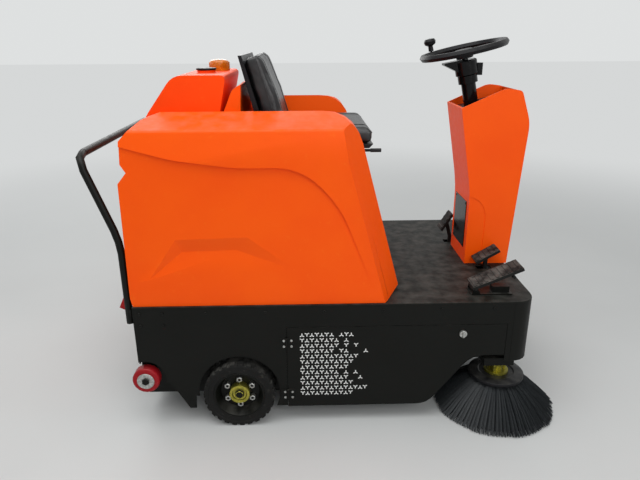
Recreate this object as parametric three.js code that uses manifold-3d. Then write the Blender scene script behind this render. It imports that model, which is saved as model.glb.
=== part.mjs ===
// Ride-on sweeper: a steel frame with a deck, a moulded hood, a rear hopper and a steered front wheel.
// Millimetres. +X is forward, +Y is the machine's left side, +Z is up and the floor is z = 0.
import * as THREE from 'three';
import { mergeVertices } from 'three/addons/utils/BufferGeometryUtils.js';
import { ConvexGeometry } from 'three/addons/geometries/ConvexGeometry.js';
import Module from 'manifold-3d';

const wasm = await Module();
wasm.setup();

// ---------------------------------------------------------------- driving dimensions
const GAP = 0.3; // left between two pieces that touch
const RUN = 5; // running gap beside a piece that slides or turns
const SHEET = 4; // chassis plate
const FRAME_LENGTH = 1370;
const FRAME_WIDTH = 928;
const DECK_TOP = 461;
const CORNER = 75; // radius of the two front corners
const FRONT_EDGE = 231; // lower edge of the front plate
const SKIRT_EDGE = 62; // lower edge of the side plates
const SIDE_OFFSET = 60; // puts the outline, brush included, about the middle of the frame

const REAR_WHEEL_D = 250;
const REAR_WHEEL_W = 82;
const REAR_WHEEL_BACK = 344; // axle ahead of the rear edge
const WHEEL_PROUD = 23; // tyre outside the side plate
const RIM_R = 90;
const AXLE_R = 12;
const FRONT_WHEEL_D = 200;
const FRONT_WHEEL_W = 70;
const STEM_BACK = 95; // steering stem behind the front edge
const TRAIL = 30;
const STEM_R = 16;

const ROLLER_R = 47.5;
const ROLLER_W = 40;
const ROLLER_BACK = 21;
const ROLLER_Z = 183;
const HOPPER_FLOOR = 75;
const HOPPER_TOP = 395;
const HOPPER_LENGTH = 530;
const RUNNER_Z = 343;
const TUBE_R = 13;
const HANDLE_OUT = 120; // crossbar behind the frame
const HANDLE_TOP = 977;

const DOOR_GAP = 27; // door's hinge edge ahead of the wheel arch
const DOOR_FRONT = 95; // door's free edge behind the front edge
const DOOR_TOP = 378;
const SEAM = 1.5;

const MAIN_BRUSH_R = 147;
const MAIN_BRUSH_L = 680;
const MAIN_BRUSH_X = 725; // ahead of the rear edge
const SIDE_BRUSH_R = 222;
const SIDE_BRUSH_BACK = 85; // behind the front edge
const SIDE_BRUSH_IN = 90; // inside the side plate's face
const BRUSH_DISC_R = 105;
const BRUSH_DISC_Z = 140;

const HOOD_LENGTH = 915;
const HOOD_HEIGHT = 619;
const HOOD_WALL = 8;
const BROW_DEPTH = 15; // how far the side leans in below the brow
const CHEVRON_DEPTH = 22;
const HOOD_INSET = 8; // hood's side inside the side plate's face
const BAY_WIDTH = 548;
const BAY_DEPTH = 155; // seat bay's floor below the hood's top
const TANK_WIDTH = 440;

const SEAT_WIDTH = 470;
const SEAT_FRONT = 830; // ahead of the rear edge
const COLUMN_TILT = 12.5; // degrees
const COLUMN_R = 27;
const SHAFT_R = 11;
const STEERING_WHEEL_R = 149;
const STEERING_RIM_R = 13;
const SHROUD_WIDTH = 224;
const SHROUD_BACK = 159; // shroud's rear face behind the front edge
const SHROUD_WALL = 6;
const ARCH_STEP = 2.5; // moulded step low on the shroud's sides

// ---------------------------------------------------------------- values that follow
const REAR = -FRAME_LENGTH / 2;
const FRONT = FRAME_LENGTH / 2;
const SIDE = FRAME_WIDTH / 2;
const UNDER_DECK = DECK_TOP - SHEET - GAP;
const ON_DECK = DECK_TOP + GAP;
const INSIDE = SIDE - SHEET - GAP; // inner face of the side plates
const WHEEL_X = REAR + REAR_WHEEL_BACK;
const WHEEL_R = REAR_WHEEL_D / 2;
const WHEEL_OUT = SIDE + WHEEL_PROUD;
const WHEEL_IN = WHEEL_OUT - REAR_WHEEL_W;
const ARCH_R = WHEEL_R + 18;
const CARRIER_OUT = WHEEL_IN - 9;
const CARRIER_IN = CARRIER_OUT - 6;
const HOPPER_HALF = CARRIER_IN - 10; // outer face of the hopper's side wall
const ROLLER_X = REAR + ROLLER_BACK;
const ROLLER_OUT = SIDE + 10;
const DOOR_X0 = WHEEL_X + ARCH_R + DOOR_GAP;
const DOOR_X1 = FRONT - DOOR_FRONT;
const BRUSH_X = REAR + MAIN_BRUSH_X;
const BRUSH_Z = MAIN_BRUSH_R + GAP;
const HOUSING_HALF = MAIN_BRUSH_L / 2 + 6;
const HOUSING_X0 = BRUSH_X - 140;
const HOUSING_X1 = BRUSH_X + MAIN_BRUSH_R + 18;
const RAIL_DEPTH = 40;
const RAIL_Z = UNDER_DECK - RAIL_DEPTH; // lower face of the frame's rails
const RAIL_IN = SIDE - 39;
const STEM_X = FRONT - STEM_BACK;
const HEAD_BEAM_Z = 370;
const SIDE_BRUSH_X = FRONT - SIDE_BRUSH_BACK;
const SIDE_BRUSH_Y = -(SIDE - SIDE_BRUSH_IN);
const ARM_PIVOT_X = SIDE_BRUSH_X - 235;
const ARM_PIVOT_Z = 225;
const ARM_HALF = 30;
const PEDAL_X = FRONT - 205; // pedal shaft
const PEDAL_Z = DECK_TOP - 21;
const PEDAL_SHAFT_R = 8;
const BRAKE_Y = -150;
const FLAP_PEDAL_Y = 160;
const ACCEL_Y = -375;
const HOOD_REAR = REAR - 3;
const HOOD_FRONT = HOOD_REAR + HOOD_LENGTH;
const HOOD_TOP = DECK_TOP + HOOD_HEIGHT;
const HOOD_HALF = SIDE - HOOD_INSET;
const BAY_HALF = BAY_WIDTH / 2;
const BAY_FLOOR = HOOD_TOP - BAY_DEPTH;
const BAY_REAR = HOOD_REAR + 370;
const TANK_SEAT_Z = HOOD_TOP - 40; // floor under the tank
const SEAT_X1 = REAR + SEAT_FRONT;
const SEAT_HALF = SEAT_WIDTH / 2;
const SHROUD_X = FRONT - SHROUD_BACK;
const SHROUD_HALF = SHROUD_WIDTH / 2;
const GEARBOX_TOP = DECK_TOP + 80;

// steering axis: passes the shroud's mouth and leans back as it rises
const TILT = THREE.MathUtils.degToRad(COLUMN_TILT);
const AXIS_FOOT = new THREE.Vector3(FRONT - 35, 0, GEARBOX_TOP);
const AXIS_UP = new THREE.Vector3(-Math.sin(TILT), 0, Math.cos(TILT));

function onAxis(distance) {
  return AXIS_FOOT.clone().addScaledVector(AXIS_UP, distance);
}

const WHEEL_HUB_AT = 740; // steering wheel's centre, measured along the axis from the gearbox
const COLUMN_TOP_AT = WHEEL_HUB_AT - 62;
const PANEL_BACK_Z = 1040;
const PANEL_SLOPE = THREE.MathUtils.degToRad(15);

// ---------------------------------------------------------------- shape helpers
// A closed mesh becomes a manifold solid for cutting and joining.
function toSolid(geometry) {
  const bare = geometry.clone();
  bare.deleteAttribute('normal');
  bare.deleteAttribute('uv');
  const merged = mergeVertices(bare, 1e-3);
  return new wasm.Manifold(new wasm.Mesh({
    numProp: 3,
    vertProperties: new Float32Array(merged.attributes.position.array),
    triVerts: new Uint32Array(merged.index.array),
  }));
}

function fromSolid(solid) {
  const mesh = solid.getMesh();
  const geometry = new THREE.BufferGeometry();
  geometry.setAttribute('position', new THREE.BufferAttribute(mesh.vertProperties, 3));
  geometry.setIndex(new THREE.BufferAttribute(mesh.triVerts, 1));
  geometry.computeVertexNormals();
  return geometry;
}

function join(...pieces) {
  return fromSolid(wasm.Manifold.union(pieces.map(toSolid)));
}

function cut(base, ...tools) {
  return fromSolid(toSolid(base).subtract(wasm.Manifold.union(tools.map(toSolid))));
}

function box(x0, x1, y0, y1, z0, z1) {
  const geometry = new THREE.BoxGeometry(Math.abs(x1 - x0), Math.abs(y1 - y0), Math.abs(z1 - z0));
  return geometry.translate((x0 + x1) / 2, (y0 + y1) / 2, (z0 + z1) / 2);
}

// Turns a shape made along +Z so that +Z lies along `direction`, with its start at `origin`.
function aim(geometry, origin, direction) {
  const turn = new THREE.Quaternion().setFromUnitVectors(
    new THREE.Vector3(0, 0, 1),
    direction.clone().normalize(),
  );
  return geometry.applyQuaternion(turn).translate(origin.x, origin.y, origin.z);
}

function rod(from, to, radius, sides = 16) {
  const length = from.distanceTo(to);
  const geometry = new THREE.CylinderGeometry(radius, radius, length, sides);
  geometry.rotateX(Math.PI / 2).translate(0, 0, length / 2);
  return aim(geometry, from, to.clone().sub(from));
}

function rodX(x0, x1, y, z, radius, sides) {
  return rod(new THREE.Vector3(x0, y, z), new THREE.Vector3(x1, y, z), radius, sides);
}

function rodY(x, y0, y1, z, radius, sides) {
  return rod(new THREE.Vector3(x, y0, z), new THREE.Vector3(x, y1, z), radius, sides);
}

function rodZ(x, y, z0, z1, radius, sides) {
  return rod(new THREE.Vector3(x, y, z0), new THREE.Vector3(x, y, z1), radius, sides);
}

// A hole that clears a rod of the same number of sides by GAP on its flats too.
function bore(radius, sides = 16) {
  return (radius + GAP) / Math.cos(Math.PI / sides);
}

// Profile points are [radius, height]; the shape turns about +Z.
function turned(profile, sides = 24) {
  const points = profile.map(([radius, height]) => new THREE.Vector2(radius, height));
  if (THREE.ShapeUtils.area(points) < 0) points.reverse();
  return new THREE.LatheGeometry(points, sides).rotateX(Math.PI / 2);
}

// Outline points are [u, v] or [u, v, setback]: a setback rounds the corner off.
function outline(points) {
  const shape = new THREE.Shape();
  const count = points.length;
  points.forEach((point, i) => {
    const corner = new THREE.Vector2(point[0], point[1]);
    const setback = point[2] ?? 0;
    const before = new THREE.Vector2(...points[(i + count - 1) % count].slice(0, 2));
    const after = new THREE.Vector2(...points[(i + 1) % count].slice(0, 2));
    const start = corner.clone().add(before.sub(corner).setLength(setback));
    const end = corner.clone().add(after.sub(corner).setLength(setback));
    if (i === 0) shape.moveTo(start.x, start.y);
    else shape.lineTo(start.x, start.y);
    if (setback > 0) shape.quadraticCurveTo(corner.x, corner.y, end.x, end.y);
  });
  return shape;
}

function extrude(points, depth, curveSegments = 4) {
  const settings = { depth, steps: 1, bevelEnabled: false, curveSegments };
  return new THREE.ExtrudeGeometry(outline(points), settings);
}

// Outline in X and Z, running from y0 to y1.
function sideCut(points, y0, y1, curveSegments) {
  const low = Math.min(y0, y1);
  const high = Math.max(y0, y1);
  return extrude(points, high - low, curveSegments).rotateX(Math.PI / 2).translate(0, high, 0);
}

// Outline in X and Y, running from z0 to z1.
function planCut(points, z0, z1, curveSegments) {
  return extrude(points, z1 - z0, curveSegments).translate(0, 0, z0);
}

// Outline in Y and Z, running from x0 to x1.
function frontCut(points, x0, x1) {
  const basis = new THREE.Matrix4().makeBasis(
    new THREE.Vector3(0, 1, 0),
    new THREE.Vector3(0, 0, 1),
    new THREE.Vector3(1, 0, 0),
  );
  return extrude(points, x1 - x0).applyMatrix4(basis).translate(x0, 0, 0);
}

function paint(color, roughness, metalness) {
  return new THREE.MeshStandardMaterial({ color, roughness, metalness });
}

const frameBlack = paint(0x15160f, 0.5, 0.3);
const hoodOrange = paint(0xff5a00, 0.45, 0);
const tankOrange = paint(0xff4400, 0.45, 0);
const rubberBlack = paint(0x1a1a1a, 0.8, 0);
const vinylBlack = paint(0x1d1d1e, 0.5, 0);
const plasticBlack = paint(0x161616, 0.4, 0);
const bristleGrey = paint(0x2b302f, 0.9, 0);
const rollerRed = paint(0xa01820, 0.4, 0);
const handleRed = paint(0xc0181c, 0.5, 0);
const zinc = paint(0xb9b04a, 0.35, 0.9);
const steel = paint(0x9a9a98, 0.4, 0.9);
const amber = paint(0xe07a10, 0.2, 0);

const group = new THREE.Group();
group.position.y = SIDE_OFFSET;

function add(name, geometry, material) {
  const mesh = new THREE.Mesh(geometry, material);
  mesh.name = name;
  group.add(mesh);
  return mesh;
}

// ---------------------------------------------------------------- chassis
function deckPlate() {
  const plate = planCut([
    [REAR, -SIDE],
    [FRONT, -SIDE, CORNER],
    [FRONT, SIDE, CORNER],
    [REAR, SIDE],
  ], DECK_TOP - SHEET, DECK_TOP, 6);
  return cut(
    plate,
    box(FILTER_X0, FILTER_X1, -FILTER_HALF, FILTER_HALF, 0, 2 * DECK_TOP),
    box(STEM_X - 30, STEM_X + 30, -30, 30, 0, 2 * DECK_TOP),
    box(BRAKE_FOOT_X - 32, BRAKE_FOOT_X + 24, BRAKE_Y - 16, BRAKE_Y + 16, 0, 2 * DECK_TOP),
    box(FLAP_FOOT_X - 24, FLAP_FOOT_X + 24, FLAP_PEDAL_Y - 16, FLAP_PEDAL_Y + 16, 0, 2 * DECK_TOP),
  );
}

const FILTER_X0 = REAR + 60;
const FILTER_X1 = REAR + 345;
const FILTER_HALF = 250;
const BRAKE_FOOT_X = PEDAL_X + 115;
const FLAP_FOOT_X = PEDAL_X + 50;

// Both side plates share their rear half: roller notch, slanted skirt and wheel arch.
function sidePlate(side, frontHalf) {
  const skirtRear = WHEEL_X - ARCH_R - 36;
  const plate = sideCut([
    [REAR, UNDER_DECK],
    [REAR, FRONT_EDGE],
    [ROLLER_X, ROLLER_Z],
    [ROLLER_X + 60, ROLLER_Z - 15],
    [skirtRear - 60, ROLLER_Z - 15],
    [skirtRear, SKIRT_EDGE],
    [skirtRear + 22, SKIRT_EDGE],
    [skirtRear + 25, ROLLER_Z - 70],
    [WHEEL_X, ROLLER_Z - 70],
    [DOOR_X0 - 40, SKIRT_EDGE + 4],
    [DOOR_X0 - SEAM / 2, SKIRT_EDGE + 4],
    ...frontHalf,
    [FRONT - CORNER - GAP, FRONT_EDGE],
    [FRONT - CORNER - GAP, UNDER_DECK],
  ], side * (SIDE - SHEET), side * SIDE);
  return cut(
    plate,
    rodY(WHEEL_X, -2 * SIDE, 2 * SIDE, WHEEL_R, ARCH_R, 32),
    rodY(ROLLER_X, -2 * SIDE, 2 * SIDE, ROLLER_Z, ROLLER_R + 24, 24),
  );
}

const doorway = [
  [DOOR_X0 - SEAM / 2, DOOR_TOP + SEAM / 2],
  [DOOR_X1 + SEAM / 2, DOOR_TOP + SEAM / 2],
  [DOOR_X1 + SEAM / 2, FRONT_EDGE],
];
const plainFront = [
  [DOOR_X1 - 130, SKIRT_EDGE + 4],
  [DOOR_X1 - 30, FRONT_EDGE],
];

function frontPlate() {
  const start = FRONT - CORNER;
  const inner = SIDE - SHEET;
  return planCut([
    [start, -SIDE],
    [FRONT, -SIDE, CORNER],
    [FRONT, SIDE, CORNER],
    [start, SIDE],
    [start, inner],
    [FRONT - SHEET, inner, CORNER - SHEET],
    [FRONT - SHEET, -inner, CORNER - SHEET],
    [start, -inner],
  ], FRONT_EDGE, UNDER_DECK, 6);
}

// Rails and beams, with the steering head and the side brush's hanger welded on.
function chassisFrame() {
  const railFront = FRONT - CORNER - 20;
  const beamX = ARM_PIVOT_X - 20;
  const hangerY = SIDE_BRUSH_Y - ARM_HALF - GAP;
  const frame = join(
    box(REAR + 25, railFront, RAIL_IN, INSIDE, RAIL_Z, UNDER_DECK),
    box(REAR + 25, railFront, -INSIDE, -RAIL_IN, RAIL_Z, UNDER_DECK),
    box(BRUSH_X - 110, BRUSH_X - 70, -RAIL_IN - 1, RAIL_IN + 1, RAIL_Z, UNDER_DECK),
    box(beamX - 20, beamX + 20, -RAIL_IN - 1, RAIL_IN + 1, RAIL_Z, UNDER_DECK),
    box(STEM_X - 40, STEM_X + 40, -RAIL_IN - 15, RAIL_IN + 15, HEAD_BEAM_Z, HEAD_BEAM_Z + 40),
    box(STEM_X - 40, railFront, RAIL_IN, RAIL_IN + 15, HEAD_BEAM_Z, RAIL_Z + 5),
    box(STEM_X - 40, railFront, -RAIL_IN - 15, -RAIL_IN, HEAD_BEAM_Z, RAIL_Z + 5),
    rodZ(STEM_X, 0, 280, UNDER_DECK, STEM_R + 14, 16),
    box(ARM_PIVOT_X - 22, ARM_PIVOT_X + 18, hangerY - 8, hangerY, ARM_PIVOT_Z - 18, RAIL_Z + 5),
    rodY(ARM_PIVOT_X, hangerY - 4, SIDE_BRUSH_Y + ARM_HALF + 12, ARM_PIVOT_Z, PEDAL_SHAFT_R, 16),
  );
  return cut(frame, rodZ(STEM_X, 0, 0, DECK_TOP, bore(STEM_R), 16));
}

// Open below and behind; its right wall carries the brush's idle pin.
function brushHousing() {
  const wall = SHEET;
  const shell = cut(
    box(HOUSING_X0, HOUSING_X1, -HOUSING_HALF - wall, HOUSING_HALF + wall, 75, RAIL_Z - GAP),
    box(HOUSING_X0 - 1, HOUSING_X1 - wall, -HOUSING_HALF, HOUSING_HALF, 0, RAIL_Z - GAP - wall),
    rodY(BRUSH_X, 0, SIDE, BRUSH_Z, 30, 16),
  );
  const pinEnd = -MAIN_BRUSH_L / 2 + 25;
  return join(shell, rodY(BRUSH_X, -HOUSING_HALF - wall - 6, pinEnd, BRUSH_Z, AXLE_R, 16));
}

add('deck_plate', deckPlate(), frameBlack);
add('right_side_panel', sidePlate(-1, doorway), frameBlack);
add('left_side_panel', sidePlate(1, plainFront), frameBlack);
add('front_panel', frontPlate(), frameBlack);
add('chassis_frame', chassisFrame(), frameBlack);
add('brush_housing', brushHousing(), frameBlack);

// ---------------------------------------------------------------- right-hand door
const HINGE_R = 4.5;
const HINGE_PIN_R = 2;
const HINGE_Y = -SIDE - HINGE_R - GAP;
const HINGE_HEIGHT = 40;
const KNUCKLE = 12;
const LEAF = 1.5;
const HINGE_CENTRES = { upper_door_hinge: DOOR_TOP - 60, lower_door_hinge: 113 };

// One leaf of a hinge, lying on a plate's outer face, from the barrel at x to xEnd.
function leaf(x, xEnd, z0, z1) {
  return box(x, xEnd, -SIDE - GAP - LEAF, -SIDE - GAP, z0, z1);
}

function doorHinge(z) {
  const plateEnd = DOOR_X0 - 24;
  const screws = [-1, 1].map((way) => {
    return rodY(DOOR_X0 - 10, -SIDE - GAP - LEAF - 2, -SIDE - GAP - 1, z + way * 11, 3.5, 6);
  });
  return join(
    leaf(plateEnd, DOOR_X0 - 3.4, z - HINGE_HEIGHT / 2, z + HINGE_HEIGHT / 2),
    leaf(DOOR_X0 - 5, DOOR_X0, z - KNUCKLE / 2, z + KNUCKLE / 2),
    rodZ(DOOR_X0, HINGE_Y, z - KNUCKLE / 2, z + KNUCKLE / 2, HINGE_R, 8),
    rodZ(DOOR_X0, HINGE_Y, z - HINGE_HEIGHT / 2, z + HINGE_HEIGHT / 2, HINGE_PIN_R, 8),
    ...screws,
  );
}

// Two barrels above and below the fixed one, with a leaf and two screws on the door.
function doorKnuckles(z) {
  const pieces = [-1, 1].flatMap((way) => {
    const near = z + way * (KNUCKLE / 2 + GAP);
    const far = z + way * (HINGE_HEIGHT / 2 - 1);
    return [
      rodZ(DOOR_X0, HINGE_Y, Math.min(near, far), Math.max(near, far), HINGE_R, 8),
      leaf(DOOR_X0, DOOR_X0 + 5, Math.min(near, far), Math.max(near, far)),
      rodY(DOOR_X0 + 13, -SIDE - GAP - LEAF - 2, -SIDE + 1, z + way * 11, 3.5, 6),
    ];
  });
  const plate = box(
    DOOR_X0 + 3.4, DOOR_X0 + 24,
    -SIDE - GAP - LEAF, -SIDE + 1,
    z - HINGE_HEIGHT / 2, z + HINGE_HEIGHT / 2,
  );
  const solid = join(plate, ...pieces);
  return cut(solid, rodZ(DOOR_X0, HINGE_Y, z - HINGE_HEIGHT, z + HINGE_HEIGHT, bore(HINGE_PIN_R, 8), 8));
}

const LOCK_X = DOOR_X1 - 153;
const LOCK_Z = DOOR_TOP - 33;
const LOCK_R = 9;

function door() {
  const archTop = FRONT_EDGE + 26;
  const plate = sideCut([
    [DOOR_X0 + SEAM / 2, SKIRT_EDGE],
    [DOOR_X1 - 263, SKIRT_EDGE, 40],
    [DOOR_X1 - 115, archTop, 50],
    [DOOR_X1 - SEAM / 2, archTop],
    [DOOR_X1 - SEAM / 2, DOOR_TOP - SEAM / 2],
    [DOOR_X0 + SEAM / 2, DOOR_TOP - SEAM / 2],
  ], -SIDE, -SIDE + SHEET);
  const fitted = join(plate, ...Object.values(HINGE_CENTRES).map(doorKnuckles));
  return cut(fitted, rodY(LOCK_X, -2 * SIDE, 0, LOCK_Z, bore(LOCK_R), 16));
}

// Knob outside, cam inside; a quarter turn swings the cam up behind the plate.
function doorLock() {
  const camY = -SIDE + SHEET + 0.6;
  return join(
    rodY(LOCK_X, -SIDE - 9, -SIDE - GAP, LOCK_Z, LOCK_R + 4, 16),
    box(LOCK_X - 3, LOCK_X + 3, -SIDE - 15, -SIDE - 8, LOCK_Z - 11, LOCK_Z + 11),
    rodY(LOCK_X, -SIDE - 1, camY + 3, LOCK_Z, LOCK_R, 16),
    box(LOCK_X - 50, LOCK_X + 8, camY, camY + 3, LOCK_Z - 8, LOCK_Z + 8),
  );
}

for (const [name, z] of Object.entries(HINGE_CENTRES)) {
  add(name, doorHinge(z), frameBlack);
}
add('right_door', door(), frameBlack);
add('door_lock', doorLock(), plasticBlack);

// ---------------------------------------------------------------- hopper and its handle
const REAR_WALL_HALF = INSIDE - 5;
const LEG_Y = SIDE - 30;
const LEG_X = REAR - 19;
const LEG_FOOT = 392;
const WALL_TOP = UNDER_DECK - 6;
const LATCH_Y = -300;
const LATCH_X = REAR - 16;
const LATCH_Z = 432;
const LATCH_HALF = 12;
const BOLT_R = 8;

function hopper() {
  const front = REAR + 5 + HOPPER_LENGTH;
  const bin = cut(
    box(REAR + 1, front, -HOPPER_HALF, HOPPER_HALF, HOPPER_FLOOR, HOPPER_TOP),
    box(REAR + 5, front - 4, -HOPPER_HALF + 4, HOPPER_HALF - 4, HOPPER_FLOOR + 4, HOPPER_TOP + 1),
    box(REAR + 5, front + 1, -HOPPER_HALF + 4, HOPPER_HALF - 4, HOPPER_FLOOR + 40, HOPPER_TOP + 1),
  );
  const shoulder = ROLLER_OUT - ROLLER_W - 10;
  const wallLow = ROLLER_Z + ROLLER_R + 10;
  const sides = [-1, 1].flatMap((side) => [
    box(
      REAR + 20, front - 10,
      side * (HOPPER_HALF - 1), side * (CARRIER_IN - 3.3 - GAP),
      RUNNER_Z + GAP, RUNNER_Z + 3 + GAP,
    ),
    box(REAR, REAR + 50, side * (ROLLER_OUT - 52), side * (ROLLER_OUT - 46), 158, 262),
    rodY(ROLLER_X, side * (ROLLER_OUT - 50), side * (ROLLER_OUT + 8), ROLLER_Z, BOLT_R, 12),
    rodY(ROLLER_X, side * (ROLLER_OUT + GAP), side * (ROLLER_OUT + 8), ROLLER_Z, BOLT_R + 5, 6),
  ]);
  const lugs = [-1, 1].map((way) => {
    const near = LATCH_Y + way * (LATCH_HALF + GAP);
    return box(LATCH_X - 12, REAR + 1, near, near + way * 5, LATCH_Z - 12, LATCH_Z + 12);
  });
  const pinHole = rodY(LATCH_X, LATCH_Y - 40, LATCH_Y + 40, LATCH_Z, bore(4, 12), 12);
  return cut(join(
    bin,
    box(REAR, REAR + 4, -REAR_WALL_HALF, REAR_WALL_HALF, wallLow, WALL_TOP),
    box(REAR, REAR + 4, -shoulder, shoulder, 150, WALL_TOP),
    ...sides,
    ...lugs,
  ), pinHole);
}

// Two legs bolted to the hopper's rear wall, leaning back to a crossbar.
function hopperHandle() {
  const topX = REAR - HANDLE_OUT;
  const bend = 55;
  const corners = [
    new THREE.Vector3(LEG_X, -LEG_Y, LEG_FOOT),
    new THREE.Vector3(LEG_X, -LEG_Y, 681),
    new THREE.Vector3(topX, -LEG_Y, HANDLE_TOP - 10),
    new THREE.Vector3(topX, LEG_Y, HANDLE_TOP - 10),
    new THREE.Vector3(LEG_X, LEG_Y, 681),
    new THREE.Vector3(LEG_X, LEG_Y, LEG_FOOT),
  ];
  const path = new THREE.CurvePath();
  let last = corners[0];
  for (let i = 1; i < corners.length - 1; i += 1) {
    const corner = corners[i];
    const into = corner.clone().addScaledVector(last.clone().sub(corner).normalize(), bend);
    const out = corner.clone().addScaledVector(corners[i + 1].clone().sub(corner).normalize(), bend);
    path.add(new THREE.LineCurve3(last, into));
    path.add(new THREE.QuadraticBezierCurve3(into, corner, out));
    last = out;
  }
  path.add(new THREE.LineCurve3(last, corners[corners.length - 1]));
  const section = new THREE.Shape().absarc(0, 0, TUBE_R, 0, 2 * Math.PI);
  const tube = new THREE.ExtrudeGeometry(section, { extrudePath: path, steps: 48, curveSegments: 4 });
  const feet = [-1, 1].map((side) => {
    return box(LEG_X, REAR - GAP, side * LEG_Y - 16, side * LEG_Y + 16, LEG_FOOT + 4, LEG_FOOT + 54);
  });
  return join(tube, ...feet);
}

function roller(side) {
  const edge = ROLLER_R - 4;
  const hole = bore(BOLT_R, 20);
  const ring = turned([
    [hole, 0],
    [hole, ROLLER_W],
    [edge, ROLLER_W],
    [ROLLER_R, ROLLER_W - 5],
    [ROLLER_R, 5],
    [edge, 0],
    [hole, 0],
  ], 20);
  const origin = new THREE.Vector3(ROLLER_X, side * (ROLLER_OUT - ROLLER_W), ROLLER_Z);
  return aim(ring, origin, new THREE.Vector3(0, side, 0));
}

// Red grip that hooks the hopper shut; it swings up on a pin between the lugs.
function hopperLatch() {
  const grip = sideCut([
    [LATCH_X + 8, LATCH_Z - 8],
    [LATCH_X + 8, LATCH_Z + 8],
    [LATCH_X - 48, LATCH_Z + 14, 8],
    [LATCH_X - 74, LATCH_Z - 42],
    [LATCH_X - 60, LATCH_Z - 48],
    [LATCH_X - 38, LATCH_Z - 4],
  ], LATCH_Y - LATCH_HALF, LATCH_Y + LATCH_HALF);
  return join(grip, rodY(LATCH_X, LATCH_Y - 19, LATCH_Y + 19, LATCH_Z, 4, 12));
}

function dustFilter() {
  const inset = 1;
  const lip = 14;
  return join(
    box(
      FILTER_X0 + inset, FILTER_X1 - inset,
      -FILTER_HALF + inset, FILTER_HALF - inset,
      HOPPER_TOP + RUN, DECK_TOP + 2,
    ),
    box(
      FILTER_X0 - lip, FILTER_X1 + lip,
      -FILTER_HALF - lip, FILTER_HALF + lip,
      ON_DECK, ON_DECK + 3,
    ),
  );
}

function suctionFan() {
  const base = ON_DECK + 3 + GAP;
  const centre = (FILTER_X0 + FILTER_X1) / 2;
  return join(
    rodZ(centre, 0, base, base + 70, 95, 24),
    box(centre, centre + 95, 40, 150, base, base + 70),
    rodZ(centre, 0, base + 69, base + 150, 52, 20),
  );
}

add('hopper', hopper(), frameBlack);
add('hopper_handle', hopperHandle(), frameBlack);
add('right_roller', roller(-1), rollerRed);
add('left_roller', roller(1), rollerRed);
add('hopper_latch', hopperLatch(), handleRed);
add('dust_filter', dustFilter(), plasticBlack);
add('suction_fan', suctionFan(), plasticBlack);

// ---------------------------------------------------------------- rear wheels
function tyre(radius, inner, width) {
  return turned([
    [inner, 0],
    [radius - 10, 0],
    [radius, 12],
    [radius, width - 12],
    [radius - 10, width],
    [inner, width],
    [inner, 0],
  ]);
}

const HUB_FACE = REAR_WHEEL_W - 12;

function rearRim() {
  const hole = bore(AXLE_R, 24);
  const disc = turned([
    [hole, 10],
    [34, 10],
    [34, 38],
    [RIM_R - 12, 38],
    [RIM_R - 8, 2],
    [RIM_R, 2],
    [RIM_R, REAR_WHEEL_W - 2],
    [RIM_R - 6, REAR_WHEEL_W - 2],
    [RIM_R - 16, REAR_WHEEL_W - 22],
    [RIM_R - 22, REAR_WHEEL_W - 37],
    [34, REAR_WHEEL_W - 37],
    [34, HUB_FACE],
    [24, HUB_FACE],
    [22, HUB_FACE - 5],
    [hole, HUB_FACE - 5],
    [hole, 10],
  ]);
  const bolts = Array.from({ length: 6 }, (_, i) => {
    const angle = (i + 0.5) * Math.PI / 3;
    const x = 50 * Math.cos(angle);
    const y = 50 * Math.sin(angle);
    return rodZ(x, y, 40, REAR_WHEEL_W - 25, 9.5, 6);
  });
  return join(disc, ...bolts);
}

// Hanger plate, stub axle with its nut, and the channel that the hopper's runner slides in.
function wheelCarrier(side) {
  const y = (value) => side * value;
  const railIn = CARRIER_IN - 3.3;
  const rearEnd = REAR + 12;
  return join(
    box(WHEEL_X - 80, WHEEL_X + 80, y(CARRIER_IN), y(CARRIER_OUT), 70, RAIL_Z - GAP),
    box(WHEEL_X - 80, WHEEL_X + 80, y(CARRIER_IN), y(INSIDE), RAIL_Z - GAP - 5, RAIL_Z - GAP),
    rodY(WHEEL_X, y(CARRIER_OUT - 1), y(WHEEL_IN + 10 - GAP), WHEEL_R, AXLE_R + 10, 16),
    rodY(WHEEL_X, y(CARRIER_OUT - 1), y(WHEEL_OUT - 4), WHEEL_R, AXLE_R, 24),
    rodY(WHEEL_X, y(WHEEL_IN + HUB_FACE - 5 + GAP), y(WHEEL_OUT - 8), WHEEL_R, AXLE_R + 5, 6),
    box(rearEnd, REAR + HOPPER_LENGTH, y(railIn), y(CARRIER_IN + 1), RUNNER_Z - 3, UNDER_DECK),
    box(rearEnd, REAR + HOPPER_LENGTH, y(railIn - 6), y(railIn + 1), RUNNER_Z - 3, RUNNER_Z),
  );
}

const sides = { right: -1, left: 1 };
for (const [name, side] of Object.entries(sides)) {
  const outward = new THREE.Vector3(0, side, 0);
  const inner = new THREE.Vector3(WHEEL_X, side * WHEEL_IN, WHEEL_R);
  add(`${name}_wheel_carrier`, wheelCarrier(side), frameBlack);
  add(`${name}_rear_tyre`, aim(tyre(WHEEL_R, RIM_R + GAP, REAR_WHEEL_W), inner, outward), rubberBlack);
  add(`${name}_rear_rim`, aim(rearRim(), inner, outward), frameBlack);
}

// ---------------------------------------------------------------- front wheel and steering
const FRONT_WHEEL_R = FRONT_WHEEL_D / 2;
const FRONT_WHEEL_X = STEM_X - TRAIL;
const FORK_GAP = FRONT_WHEEL_W / 2 + 6;

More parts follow.
